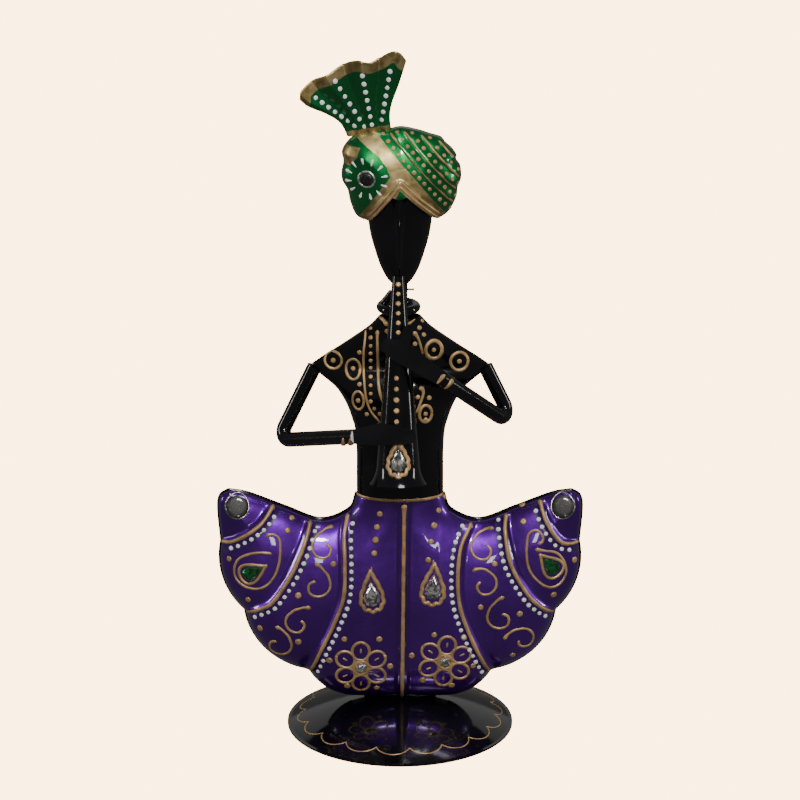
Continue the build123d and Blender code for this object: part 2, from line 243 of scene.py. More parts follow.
# ------------------------------------------------------- node tree wrappers
class Signal:
    """A node socket that can be used in Python arithmetic."""

    def __init__(self, graph, socket):
        self.graph, self.socket = graph, socket

    def _maths(self, operation, a, b):
        return self.graph.add("ShaderNodeMath", {"operation": operation}, {0: a, 1: b})

    def __add__(self, other):
        return self._maths("ADD", self, other)

    def __sub__(self, other):
        return self._maths("SUBTRACT", self, other)

    def __rsub__(self, other):
        return self._maths("SUBTRACT", other, self)

    def __mul__(self, other):
        return self._maths("MULTIPLY", self, other)

    __radd__ = __add__
    __rmul__ = __mul__

    def fade(self, start, end):
        """0 before start and 1 after end."""
        return self.graph.add(
            "ShaderNodeMapRange", {"interpolation_type": "SMOOTHSTEP"}, {0: self, 1: start, 2: end})


class Graph:
    """Adds nodes to one tree."""

    def __init__(self, tree):
        self.tree = tree

    def add(self, kind, settings=None, values=None, out=0):
        node = self.tree.nodes.new(kind)
        for name, value in (settings or {}).items():
            setattr(node, name, value)
        for key, value in (values or {}).items():
            socket = node.inputs[key]
            if isinstance(value, Signal):
                self.tree.links.new(value.socket, socket)
            else:
                socket.default_value = value
        return Signal(self, node.outputs[out])


# ---------------------------------------------------------------- materials
class Finish(Graph):
    """A coated paint: a Principled shader and what varies over it."""

    def __init__(self, name, **constants):
        self.material = bpy.data.materials.new("paint_" + name)
        self.material.use_nodes = True
        super().__init__(self.material.node_tree)
        self.shader = self.tree.nodes["Principled BSDF"]
        for label, value in constants.items():
            self.shader.inputs[label.replace("_", " ")].default_value = value
        self.place = self.add("ShaderNodeTexCoord", out=3)

    def noise(self, per_metre, detail=3.0, stretch=(1, 1, 1), distortion=0.0):
        turned = self.add("ShaderNodeMapping", {}, {"Vector": self.place, "Scale": stretch})
        return self.add("ShaderNodeTexNoise", {}, {
            "Vector": turned, "Scale": per_metre, "Detail": detail, "Distortion": distortion})

    def attribute(self, name):
        return self.add("ShaderNodeAttribute", {"attribute_name": name}, out=2)

    def blend(self, factor, a, b):
        return self.add("ShaderNodeMix", {"data_type": "RGBA"}, {0: factor, 6: a, 7: b}, out=2)

    def relief(self, height, distance, strength):
        return self.add(
            "ShaderNodeBump", {}, {"Strength": strength, "Distance": distance, "Height": height})

    def wear(self, **links):
        for label, signal in links.items():
            self.tree.links.new(signal.socket, self.shader.inputs[label.replace("_", " ")])
        return self.material


def colour(rgb, level=1.0):
    return (rgb[0] * level, rgb[1] * level, rgb[2] * level, 1.0)


def black_enamel(paint):
    """Thick black gloss enamel with a faint orange peel and dust nibs."""
    f = Finish("black_enamel", Coat_Weight=0.35, Coat_Roughness=0.05, Coat_IOR=1.5,
               Specular_IOR_Level=0.35)
    cloud = f.noise(45, 4)
    nibs = f.noise(900, 2).fade(0.72, 0.8)
    tone = f.blend(cloud.fade(0.35, 0.75), colour(paint.black), colour(paint.black, 2.2))
    peel = f.noise(320, 2) * 0.5 + f.noise(70, 2) + nibs * 0.25
    return f.wear(Base_Color=tone, Roughness=cloud * 0.12 + 0.06, Normal=f.relief(peel, 0.00016, 0.3))


def lacquer(name, base, deep, shade_band=None):
    """Transparent colour over brushed metal, clouded and flaked; along a band attribute it turns dark and
    loses its metal: mostly painted shade of the groove under the white beads, partly dark paint.
    """
    f = Finish(name, Coat_Weight=1.0, Coat_Roughness=0.04)
    cloud = f.noise(28, 4, (1, 1, 0.45))
    brushed = f.noise(260, 3, (1, 1, 0.12))
    flake = f.noise(2600, 1)
    rich = f.blend(cloud.fade(0.3, 0.72), colour(base, 0.72), colour(base, 1.15))
    rich = f.blend(flake.fade(0.58, 0.8) * 0.5, rich, colour(base, 2.1))
    metal = brushed * 0.1 + 0.8
    rough = cloud * 0.16 + brushed * 0.1 + 0.2
    # painted shade: near the bead rows the colour darkens and the metal fades, mostly for the shadow in the
    # groove, partly dark paint
    if shade_band:
        edge = f.attribute(shade_band)
        shade = 1.0 - (edge + f.noise(420, 2) * 0.9).fade(0.1, 1.3)
        rich = f.blend(shade, rich, colour(deep))
        metal = metal * (1.0 - shade)
    peel = f.noise(240, 2) * 0.6 + f.noise(60, 2)
    return f, rich, metal, rough, f.relief(peel, 0.0003, 0.5)


def purple_lacquer(paint):
    # the dark purple is the painted shade in the grooves under the white beads
    f, rich, metal, rough, relief = lacquer(
        "purple_lacquer", paint.purple, (0.022, 0.004, 0.07), "bead_groove_shade")
    return f.wear(Base_Color=rich, Metallic=metal, Roughness=rough, Normal=relief)


def green_lacquer(paint):
    """Green lacquer whose gilt areas follow the gilding attribute, in millimetres outside the gilt."""
    f, rich, metal, rough, relief = lacquer("green_lacquer", paint.green, (0.001, 0.012, 0.006))
    edge = f.attribute("gilding") + f.noise(500, 2) * 0.5
    gilt = 1.0 - edge.fade(0.15, 0.45)
    streak = f.noise(180, 4, (1, 1, 1), 0.6)
    gold = f.blend(streak.fade(0.3, 0.7), colour((0.34, 0.24, 0.085)), colour((0.76, 0.58, 0.27)))
    coat = 1.0 - gilt * 0.55
    return f.wear(
        Base_Color=f.blend(gilt, rich, gold), Metallic=metal + gilt * 0.12,
        Roughness=rough + gilt * 0.08, Normal=relief, Coat_Weight=coat)


def gold_paint(paint):
    """Thick tan-gold relief paint, a little patchy, with a soft metallic sheen."""
    f = Finish("gold_paint", Coat_Weight=0.25, Coat_Roughness=0.2)
    patch = f.noise(150, 4, distortion=0.5)
    grain = f.noise(1800, 2)
    tone = f.blend(patch.fade(0.3, 0.7), colour(paint.gold, 0.72), colour(paint.gold, 1.2))
    tone = f.blend(grain.fade(0.62, 0.8) * 0.6, tone, colour((1.0, 0.78, 0.5)))
    return f.wear(
        Base_Color=tone, Metallic=patch * 0.2 + 0.35, Roughness=grain * 0.15 + 0.36,
        Normal=f.relief(grain + patch * 0.8, 0.00018, 0.6))


def white_paint(paint):
    """Glossy white relief paint, slightly grey where it is thin."""
    f = Finish("white_paint", Coat_Weight=0.5, Coat_Roughness=0.12)
    patch = f.noise(500, 3)
    return f.wear(
        Base_Color=f.blend(patch.fade(0.3, 0.65), colour((0.84, 0.82, 0.83)), colour(paint.white)),
        Roughness=patch * 0.2 + 0.25, Normal=f.relief(patch, 0.0001, 0.5))


def looking_glass():
    """Old silvered glass: dark, speckled and faintly cloudy."""
    f = Finish("mirror_glass", Coat_Weight=0.6, Coat_Roughness=0.05)
    cloud = f.noise(160, 3)
    speck = f.noise(1500, 3).fade(0.56, 0.72)
    tone = f.blend(speck, colour((0.03, 0.029, 0.027)), colour((0.10, 0.097, 0.09)))
    return f.wear(
        Base_Color=tone, Metallic=cloud * 0.1 + 0.75, Roughness=cloud * 0.25 + 0.3,
        Normal=f.relief(speck + cloud, 0.0001, 0.4))


def silver_edge():
    """The bright rubbed rim of a mirror and its setting."""
    f = Finish("silver_edge")
    rub = f.noise(700, 3)
    return f.wear(
        Base_Color=f.blend(rub.fade(0.35, 0.7), colour((0.42, 0.38, 0.31)), colour((0.9, 0.88, 0.84))),
        Metallic=rub * 0.1 + 0.85, Roughness=rub * 0.25 + 0.18, Normal=f.relief(rub, 0.00015, 0.5))


def cut_stone(name, pale, dark):
    """A foil-backed faceted stone: its flat facets reflect the lamps, and its colour is mottled pale and
    dark as a painted sparkle of reflected light.
    """
    f = Finish(name, Coat_Weight=1.0, Coat_Roughness=0.0, Coat_IOR=1.6)
    # painted reflection: this noise mottles the stone pale and dark as the sparkle of light off its facets
    facet_sparkle = f.noise(420, 2, distortion=1.2)
    return f.wear(
        Base_Color=f.blend(facet_sparkle.fade(0.35, 0.66), colour(dark), colour(pale)),
        Metallic=facet_sparkle * 0.1 + 0.8, Roughness=facet_sparkle * 0.2 + 0.05, Normal=f.relief(facet_sparkle, 0.0002, 0.3))


def pale_floor(rgb, strength):
    """The seamless pale floor: it only glows, and takes no light."""
    f = Finish("pale_floor")
    drift = f.noise(0.6, 1)
    tone = f.blend(drift, colour(rgb, 0.999), colour(rgb))
    f.shader.inputs["Emission Strength"].default_value = strength
    f.shader.inputs["Base Color"].default_value = (0, 0, 0, 1)
    f.shader.inputs["Specular IOR Level"].default_value = 0.0
    return f.wear(Emission_Color=tone)


def finish(name):
    """A finish by name, mixed once from the figure's colours."""
    if name in MIXED:
        return MIXED[name]
    paint = bpy.context.scene.figure_colours
    MIXED[name] = {
        "black_enamel": lambda: black_enamel(paint),
        "purple_lacquer": lambda: purple_lacquer(paint),
        "green_lacquer": lambda: green_lacquer(paint),
        "gold_paint": lambda: gold_paint(paint),
        "white_paint": lambda: white_paint(paint),
        "mirror_glass": looking_glass,
        "silver_edge": silver_edge,
        "clear_glass": lambda: cut_stone("clear_glass", (0.85, 0.84, 0.79), (0.13, 0.13, 0.12)),
        "green_glass": lambda: cut_stone("green_glass", (0.01, 0.34, 0.06), (0.0, 0.045, 0.012)),
    }[name]()
    return MIXED[name]


# ------------------------------------------------------- geometry node trees
def tree_with_inputs(name, inputs):
    """A geometry tree with named inputs, and its graph and group-input signals."""
    tree = bpy.data.node_groups.new(name, "GeometryNodeTree")
    tree.interface.new_socket("Geometry", in_out="OUTPUT", socket_type="NodeSocketGeometry")
    tree.interface.new_socket("Geometry", in_out="INPUT", socket_type="NodeSocketGeometry")
    for label, kind in inputs:
        tree.interface.new_socket(label, in_out="INPUT", socket_type=kind)
    graph = Graph(tree)
    group = tree.nodes.new("NodeGroupInput")
    return tree, graph, {s.name: Signal(graph, s) for s in group.outputs if s.name}


def close_tree(graph, geometry, material):
    """Ends a tree in realised instances and the material."""
    real = graph.add("GeometryNodeRealizeInstances", {}, {"Geometry": geometry})
    smooth = graph.add("GeometryNodeSetShadeSmooth", {}, {"Geometry": real})
    painted = graph.add("GeometryNodeSetMaterial", {}, {"Geometry": smooth, "Material": material})
    out = graph.tree.nodes.new("NodeGroupOutput")
    graph.tree.links.new(painted.socket, out.inputs[0])


def piped_line_tree():
    """A squeezed line of paint: a round bead along each chain, as thick as its girth attribute."""
    tree, g, given = tree_with_inputs("piped_line", [
        ("Width", "NodeSocketFloat"), ("Sides", "NodeSocketInt"), ("Material", "NodeSocketMaterial")])
    girth = g.add("GeometryNodeInputNamedAttribute", {"data_type": "FLOAT"}, {"Name": "girth"})
    chain = g.add("GeometryNodeMeshToCurve", {}, {"Mesh": given["Geometry"]})
    ring = g.add("GeometryNodeCurvePrimitiveCircle", {}, {"Resolution": given["Sides"], "Radius": 0.5})
    bead = g.add("GeometryNodeCurveToMesh", {}, {
        "Curve": chain, "Profile Curve": ring, "Scale": girth * given["Width"], "Fill Caps": True})
    close_tree(g, bead, given["Material"])
    return tree


def dot_tree():
    """Touches of paint: a flattened drop with a dimple on each point, along its outward attribute."""
    tree, g, given = tree_with_inputs("paint_dots", [
        ("Size", "NodeSocketFloat"), ("Rise", "NodeSocketFloat"), ("Dimple", "NodeSocketFloat"),
        ("Material", "NodeSocketMaterial")])
    outward = g.add("GeometryNodeInputNamedAttribute", {"data_type": "FLOAT_VECTOR"}, {"Name": "outward"})
    scale = g.add("GeometryNodeInputNamedAttribute", {"data_type": "FLOAT"}, {"Name": "girth"})
    ball = g.add("GeometryNodeMeshUVSphere", {}, {"Segments": 12, "Rings": 8, "Radius": 0.5})
    place = g.add("GeometryNodeInputPosition")
    parts = g.tree.nodes.new("ShaderNodeSeparateXYZ")
    g.tree.links.new(place.socket, parts.inputs[0])
    x, y, z = (Signal(g, parts.outputs[k]) for k in range(3))
    off_axis = g.add("ShaderNodeMath", {"operation": "SQRT"}, {0: x * x + y * y})
    hollow = (1.0 - off_axis.fade(0.02, 0.3)) * given["Dimple"]
    level = z * given["Rise"] - hollow * z.fade(0.0, 0.3)
    moved = g.add("ShaderNodeCombineXYZ", {}, {0: x, 1: y, 2: level})
    drop = g.add("GeometryNodeSetPosition", {}, {"Geometry": ball, "Position": moved})
    turn = g.add("FunctionNodeAlignRotationToVector", {"axis": "Z"}, {"Vector": outward})
    size = g.add("ShaderNodeCombineXYZ", {}, {
        0: scale * given["Size"], 1: scale * given["Size"], 2: scale * given["Size"]})
    points = g.add("GeometryNodeMeshToPoints", {}, {"Mesh": given["Geometry"]})
    placed = g.add("GeometryNodeInstanceOnPoints", {}, {
        "Points": points, "Instance": drop, "Rotation": turn, "Scale": size})
    close_tree(g, placed, given["Material"])
    return tree


def grow(piece, tree, **settings):
    """Runs a tree on a piece and keeps the result as plain mesh."""
    live = piece.modifiers.new(tree.name, "NODES")
    live.node_group = tree
    for item in tree.interface.items_tree:
        if item.item_type == "SOCKET" and item.in_out == "INPUT" and item.name in settings:
            live[item.identifier] = settings[item.name]
    return bake_modifiers(piece)


def shared_tree(name, make):
    return bpy.data.node_groups.get(name) or make()


# ----------------------------------------------------- paint on the surfaces
def surface_of(*names):
    """A ray target over the faces of several finished objects."""
    graph = bpy.context.evaluated_depsgraph_get()
    points, faces = [], []
    for name in names:
        mesh = bpy.data.objects[name].evaluated_get(graph).data
        first = len(points)
        points.extend(v.co.copy() for v in mesh.vertices)
        faces.extend([first + i for i in p.vertices] for p in mesh.polygons)
    return BVHTree.FromPolygons(points, faces)


def lay_on(surface, line, aim=(0, 1, 0), start=-0.2):
    """Lays a line given in the plane across the aim onto the surface: places and normals."""
    places, normals = [], []
    aim = Vector(aim)
    for a, b in line:
        origin = Vector((a, b, 0)) * MM if aim.z else Vector((a, 0, b)) * MM
        origin += aim * start
        hit, normal, _, _ = surface.ray_cast(origin, aim)
        if hit is None:
            continue
        if normal.dot(aim) > 0:
            normal = -normal
        places.append(np.array(hit) / MM)
        normals.append(np.array(normal))
    return np.array(places).reshape(-1, 3), np.array(normals).reshape(-1, 3)


def chain_piece(name, points, edges, girth):
    """An object of bare points and edges in metres, each point with its girth."""
    mesh = bpy.data.meshes.new(name)
    mesh.from_pydata(points, edges, [])
    mesh.attributes.new("girth", "FLOAT", "POINT").data.foreach_set("value", np.array(girth, np.float32))
    piece = bpy.data.objects.new(name, mesh)
    bpy.context.scene.collection.objects.link(piece)
    return piece


class PaintTray:
    """Collects piped lines and dots, then turns them into one piece each."""
    bead = 1.06  # a piped line's thickness for a girth of 1
    sink = 0.26  # the share of its girth that a piped line sinks in
    head = 2.4  # how far along a line its swollen ends reach

    def __init__(self, surface, aim=(0, 1, 0), start=-0.2):
        self.surface, self.aim, self.start = surface, aim, start
        self.lines, self.dots = [], []

    def line(self, points, girth, heads=(0.0, 0.0), closed=False, step=0.45):
        """A piped line; heads swell its first and last ends by these shares."""
        points = np.asarray(points, float)
        length = np.linalg.norm(np.diff(points, axis=0), axis=1).sum()
        flat = even(points, max(6, int(length / step)))
        places, normals = lay_on(self.surface, flat, self.aim, self.start)
        if len(places) < 4:
            return
        along = np.concatenate([[0], np.cumsum(np.linalg.norm(np.diff(places, axis=0), axis=1))])
        back = along[-1] - along
        swell, taper = (np.exp(-(reach / self.head) ** 2) for reach in (along, back))
        wide = girth * (1 + heads[0] * swell + heads[1] * taper)
        slow = 0.05 * np.sin(along * 0.55 + places[:, 0] * 0.3)
        wide *= 1 + slow + 0.03 * np.sin(along * 1.3 + places[:, 2])
        if not closed:
            wide *= rounding(np.minimum(along, back) + 0.06, wide * 0.7)
        places = places - normals * (self.sink * wide[:, None])
        self.lines.append((places, wide, closed))

    def dot(self, points, girth):
        """A dot on each place, no two quite the same size."""
        places, normals = lay_on(self.surface, points, self.aim, self.start)
        wobble = 1 + 0.07 * np.sin(places[:, 0] * 3.1 + places[:, 2] * 2.3)
        self.dots.append((places, normals, girth * wobble))

    def lines_piece(self, name, material, sides=8):
        points, edges, girth = [], [], []
        for places, wide, closed in self.lines:
            first = len(points)
            points.extend(places * MM)
            girth.extend(wide)
            edges.extend((first + k, first + k + 1) for k in range(len(places) - 1))
            if closed:
                edges.append((first + len(places) - 1, first))
        piece = chain_piece(name, points, edges, girth)
        return grow(
            piece, shared_tree("piped_line", piped_line_tree),
            Width=self.bead * MM, Sides=sides, Material=finish(material))

    def dots_piece(self, name, material, rise, dimple):
        places = np.vstack([d[0] for d in self.dots])
        piece = chain_piece(name, places * MM, [], np.concatenate([d[2] for d in self.dots]))
        piece.data.attributes.new("outward", "FLOAT_VECTOR", "POINT").data.foreach_set(
            "vector", np.vstack([d[1] for d in self.dots]).astype(np.float32).ravel())
        return grow(
            piece, shared_tree("paint_dots", dot_tree),
            Size=MM, Rise=rise, Dimple=dimple, Material=finish(material))


# -------------------------------------------------------------- skirt pattern
NOTCHES = (skirt_at(0.35, 0.128), skirt_at(0.815, 0.425), skirt_at(0.98, 0.765))
TIP = skirt_at(0.925, 1.012)
TOP_EDGE = smooth_curve([
    skirt_at(0, 1), skirt_at(0.055, 0.92), skirt_at(0.26, 0.87), skirt_at(0.52, 0.93),
    skirt_at(0.78, 0.995), TIP], 200)
TIP_EDGE = smooth_curve([TIP, skirt_at(0.985, 0.985), skirt_at(1, 0.92), NOTCHES[2]], 90)
LOBES = (
    arc(skirt_at(0.05, 0), skirt_at(0.24, 0.045), NOTCHES[0]),
    arc(NOTCHES[0], skirt_at(0.675, 0.235), NOTCHES[1]),
    arc(NOTCHES[1], skirt_at(0.965, 0.575), NOTCHES[2]),
)
SEAMS_RIGHT = (
    ((0.22, 0.905), (0.13, 0.78), (0.105, 0.64), (0.12, 0.5), (0.19, 0.36)),
    ((0.45, 0.92), (0.445, 0.84), (0.49, 0.69), (0.6, 0.56), (0.7, 0.485)),
    ((0.695, 0.965), (0.75, 0.88), (0.85, 0.79)),
)
SEAMS_LEFT = (
    ((0.09, 0.94), (0.088, 0.83), (0.085, 0.7), (0.095, 0.54), (0.17, 0.4), (0.27, 0.26)),
    ((0.325, 0.89), (0.385, 0.77), (0.48, 0.635), (0.61, 0.51), (0.7, 0.47)),
    ((0.605, 0.94), (0.7, 0.87), (0.86, 0.80)),
)


def seam_lines(places):
    """The three seams of one side, each from the lobe edge up to the top edge."""
    lines = []
    for notch, given in zip(NOTCHES, places):
        middle = [skirt_at(*p) for p in given]
        top = TOP_EDGE[np.linalg.norm(TOP_EDGE - middle[0], axis=1).argmin()]
        lines.append(smooth_curve([notch] + middle[:0:-1] + [top], 120))
    return lines


SEAMS = {1: seam_lines(SEAMS_RIGHT), -1: seam_lines(SEAMS_LEFT)}
MIDDLE_SEAM = np.linspace((1.0, SEAT_Z), (2.0, WAIST_Z), 120)
SKIRT_RIM = np.vstack([TOP_EDGE, TIP_EDGE, LOBES[2][::-1], LOBES[1][::-1], LOBES[0][::-1]])
SKIRT_EDGE = np.vstack([SKIRT_RIM, mirrored(SKIRT_RIM)[::-1]])


def beside(line, offset):
    """The line moved sideways in its plane."""
    t = np.gradient(line, axis=0)
    t /= np.linalg.norm(t, axis=1)[:, None]
    return line + np.stack([-t[:, 1], t[:, 0]], axis=1) * offset


def bead_lines():
    """Where the white beads run: just inside each seam, on the waist's side of it."""
    lines = []
    for side in (1, -1):
        for seam in SEAMS[side]:
            lines.append(beside(seam, 3.1) * np.array((side, 1)))
    return lines


def coons(inner, outer, bottom, top, across, up):
    """A patch between four edges, at the given shares across and up."""
    def at(line, shares):
        marks = np.linspace(0, 1, len(line))
        return np.stack([np.interp(shares, marks, line[:, k]) for k in (0, 1)], axis=-1)
    u, v = across[None, :, None], up[:, None, None]
    left, right = at(inner, up)[:, None], at(outer, up)[:, None]
    low, high = at(bottom, across)[None], at(top, across)[None]
    corners = (
        (1 - u) * (1 - v) * inner[0] + u * (1 - v) * outer[0] + (1 - u) * v * inner[-1] + u * v * outer[-1])
    return (1 - u) * left + u * right + (1 - v) * low + v * high - corners


def skirt_panels(side):
    """The four pressed panels of one side, each by its inner, outer, bottom and top edge."""
    seams = SEAMS[side]
    cuts = [np.linalg.norm(TOP_EDGE - seam[-1], axis=1).argmin() for seam in seams]
    middle = MIDDLE_SEAM * np.array((side, 1))
    tops = (
        even(np.vstack([middle[-1:], TOP_EDGE[:cuts[0] + 1]]), 90),
        even(TOP_EDGE[cuts[0]:cuts[1] + 1], 90), even(TOP_EDGE[cuts[1]:cuts[2] + 1], 90))
    bottoms = (even(np.vstack([middle[:1], LOBES[0]]), 90), even(LOBES[1], 90), even(LOBES[2], 90))
    inners = (middle, seams[0], seams[1])
    yield from zip(inners, seams, bottoms, tops)
    outer_top = even(TOP_EDGE[cuts[2]:], 60)
    yield seams[2], even(TIP_EDGE[::-1], 90), np.repeat(NOTCHES[2:], 2, axis=0), outer_top


def off_seam(flat, depth, front):
    """Places of the seam's plane moved outwards by their depth."""
    y = SEAM_Y - depth if front else SEAM_Y + depth
    return np.stack([flat[:, 0], y, flat[:, 1]], axis=1)


def skirt_sheet(name, front, material, sizes):
    """One pressed half of the skirt: eight fluted panels that roll down to a common rim."""
    across = 0.5 - 0.5 * np.cos(np.linspace(0, math.pi, 31))
    up = np.linspace(0, 1, 84)
    flat, relief, faces = [], [], []
    for side in (1, -1):
        for inner, outer, bottom, top in skirt_panels(side):
            patch = coons(inner, outer, bottom, top, across, up)
            width = np.linalg.norm(patch[:, -1] - patch[:, 0], axis=1)[:, None]
            u = across[None, :]
            flute = 1 - step_up(u * width, 0, 2.8) + 0.55 * u**2 * np.clip(width / 12, 0, 1)
            flute = flute + 0.45 * (1 - step_up((1 - u) * width, 0, 3.2))
            pillow = np.sin(math.pi * u) * np.clip(width / 30, 0, 1)
            first = sum(len(p) for p in flat)
            faces += grid_quads(len(up), len(across), first, flip=(side < 0) == front)
            flat.append((patch * np.array((side, 1))).reshape(-1, 2))
            relief.append((flute * sizes.flute / MM + pillow * sizes.pillow / MM).ravel())
    flat, relief = np.vstack(flat), np.concatenate(relief)
    gap = edge_gap(flat, SKIRT_EDGE)
    belly = step_up(WAIST_Z - flat[:, 1], 0, SKIRT_RISE * 0.55)
    crown = TIP_CROWN + MIDDLE_CROWN * (1 - (flat[:, 0] / HALF_SKIRT) ** 2) + sizes.belly / MM * belly
    depth = crown * rounding(gap, sizes.roll / MM) + relief * rounding(gap, 8)
    points = off_seam(flat, depth, front)
    # how far each point lies from the bead rows; the purple lacquer darkens there as painted shade of the
    # groove
    shade_band = np.min([gap_to(flat, line) for line in bead_lines()], axis=0) - 0.8
    piece = new_piece(name, points, faces, material, marks={"bead_groove_shade": shade_band})
    return thicken(weld_points(piece), sizes.gauge)


# -------------------------------------------------------- torso, head, turban
TORSO_ROWS = (
    (0, 0, 1), (0.12, 0, 1), (0.25, 0.0, 1), (0.36, 0.03, 1), (0.42, 0.09, 1), (0.51, 0.22, 1),
    (0.6, 0.44, 0.92), (0.67, 0.76, 0.7), (0.72, 0.98, 0.46), (0.76, 0.82, 0.5), (0.85, 0.26, 0.66),
    (0.94, -0.26, 0.6), (1, -0.5, 0.5))
HEAD_ROWS = (
    (0, 0.22, 0.42), (0.06, 0.4, 0.6), (0.19, 0.61, 0.78), (0.4, 0.82, 0.93), (0.58, 0.95, 1),
    (0.8, 1, 1), (1, 0.9, 0.85))
TURBAN_RIM = (
    (-14.9, 249.5), (-20.1, 251.8), (-22.9, 258), (-24.2, 264), (-26.6, 268.5), (-27.0, 273),
    (-26.1, 278), (-26.8, 282.8), (-24.1, 287.6), (-19.5, 290.6), (-12, 292.2), (-4.8, 293.3),
    (0.7, 294.3), (8.5, 292.8), (13.3, 291.2), (19.0, 289.4), (21.0, 286.9), (24.2, 284.0), (26.0, 281.0),
    (25.9, 278.8), (27.8, 276.0), (28.3, 270.0), (26.8, 265.9), (26.2, 261.2), (24.3, 256.6), (22.0, 253.2),
    (18.4, 251))
BRIM_APEX = (-0.2, TURBAN_Z + 19.4)
TURBAN_HUB = (0.0, TURBAN_Z + 32.0)
BRIM_OPENING = ((15.2, 253.0), (3.2, 264.0), (-0.2, 262.4), (-3.4, 263.8))
FOLD_TURN = math.radians(41.3)
FOLDS = (189.6, 194.8, 199.6, 204.0)


def row_shell(name, rows, front, material, sizes, crease=None):
    """A pressed half shell from (z, half width, depth) rows: a half ellipse at every level."""
    rows = smooth_curve(rows, 110)
    turn = np.linspace(0, math.pi, 49)
    z, wide, deep = (rows[:, k][:, None] for k in range(3))
    x = -wide * np.cos(turn)[None, :]
    depth = deep * np.sin(turn)[None, :]
    if crease:
        depth = depth + crease(x, z) * np.sin(turn)[None, :] ** 0.5
    y = SEAM_Y - depth if front else SEAM_Y + depth
    points = np.stack([x, y, np.broadcast_to(z, x.shape)], axis=-1).reshape(-1, 3)
    piece = new_piece(name, points, grid_quads(len(rows), len(turn), flip=not front), material)
    return thicken(piece, sizes.gauge)


def torso_rows():
    foot = 0.2  # the torso's sheet starts this far below the waist
    rise = COLLAR_Z - WAIST_Z
    return [(WAIST_Z - foot + up * (rise + foot), HALF_WAIST + wide * SHOULDER_SPREAD, deep * TORSO_DEPTH)
            for up, wide, deep in TORSO_ROWS]


def head_rows():
    rise = CROWN_Z - CHIN_Z
    return [(CHIN_Z + up * rise, wide * HALF_FACE, deep * FACE_DEPTH) for up, wide, deep in HEAD_ROWS]


def pressed_pair(part, rows, sizes, crease=None):
    """Both enamelled halves of a shell, the front one with its crease."""
    for front, side in HALVES:
        piece = row_shell(
            f"{part}_{side}_sheet", rows, front, finish("black_enamel"), sizes, crease if front else None)
        settle(piece, "black_enamel", f"{part}_{side}")


def nose_crease(x, z):
    """A sharp ridge down the middle of the face, widest between the brows."""
    up = (z - CHIN_Z) / (CROWN_Z - CHIN_Z)
    wide = 1.4 + 2.0 * step_up(up, 0.45, 0.85)
    high = 0.7 + 2.5 * step_up(up, 0.15, 0.5) * (1 - step_up(up, 0.56, 0.95))
    return high * (1 - step_up(np.abs(x + 0.3), 0.35 * wide, wide))


def inside(points, ring):
    """Whether each point lies inside a closed ring."""
    x, y = points[:, :1], points[:, 1:]
    a, b = ring, np.roll(ring, -1, axis=0)
    crosses = (a[:, 1] > y) != (b[:, 1] > y)
    climb = np.where(b[:, 1] == a[:, 1], 1e-9, b[:, 1] - a[:, 1])
    reach = a[:, 0] + (y - a[:, 1]) / climb * (b[:, 0] - a[:, 0])
    return (crosses & (x < reach)).sum(1) % 2 == 1


def outside_by(points, *rings):
    """Distance outside the nearest ring, negative inside it."""
    best = np.full(len(points), 1e9)
    for ring in rings:
        ring = np.asarray(ring, float)
        gap = gap_to(points, closed(ring))
        best = np.minimum(best, np.where(inside(points, ring), -gap, gap))
    return best


GILT_BAND = (
    (-23.0, 296.0), (-21.6, 291.2), (-16, 287.4), (-9.4, 282.4), (-5.8, 277.6), (-4.4, 273.4),
    (-9.5, 266.5), (-19.6, 252.0), (-24, 246), (-10, 244), (-0.2, 267.4), (26, 242), (22.6, 252.6),
    (14.2, 263.4), (7.8, 271.4), (2.6, 277.3), (-2.6, 283.1), (-7.7, 289.0), (-13.9, 296.0))
NO_GILT = 9.0  # millimetres outside the gilt
GILT_LEAF = ((-29, 286.6), (-18.2, 286.2), (-20.1, 281.6), (-23.0, 277.4), (-25.8, 277.8), (-28.6, 282.0))


def turban_half(name, front, material, sizes):
    """A pressed half of the turban: a lobed crown, wound in diagonal folds on the front."""
    rim = smooth_curve(TURBAN_RIM, 300)
    opening = BRIM_OPENING if front else ()
    brim = even(np.array([TURBAN_RIM[-1], *opening, TURBAN_RIM[0]]), 100)
    ring = np.vstack([rim[:-1], brim[:-1]])
    hub = np.array(TURBAN_HUB)
    shares = np.linspace(1, 0, 61)[:-1]
    flat = np.vstack([hub + (ring - hub) * s for s in shares] + [hub[None]])
    count = len(ring)
    faces = ring_quads(len(shares), count)
    last = (len(shares) - 1) * count
    faces += [(last + c, last + (c + 1) % count, len(flat) - 1) for c in range(count)]
    gap = edge_gap(flat, rim)
    depth = TURBAN_DEPTH * rounding(gap, 17) + TURBAN_SWELL * step_up(gap, 4, 22)
    if front:
        across = flat[:, 0] * math.cos(FOLD_TURN) + flat[:, 1] * math.sin(FOLD_TURN)
        steps = np.zeros(len(flat))
        for fold in FOLDS:
            steps += step_up(across, fold - 0.5, fold + 0.5) - step_up(across, fold + 0.5, fold + 5.5)
        depth += steps * sizes.fold / MM * rounding(gap, 5)
        arms = np.array([(-17, 247), BRIM_APEX, (19, 249.4)])
        depth += 0.9 * (1 - step_up(gap_to(flat, arms), 2.4, 4.2)) * rounding(gap, 4)
        gilding = outside_by(flat, GILT_BAND, GILT_LEAF)
        # the ring runs clockwise seen from the front, so the front's faces are turned outwards
        faces = [f[::-1] for f in faces]
    else:
        gilding = np.full(len(flat), NO_GILT)
    points = off_seam(flat, depth, front)
    piece = new_piece(name, points, faces, material, marks={"gilding": gilding})
    return thicken(piece, sizes.gauge)


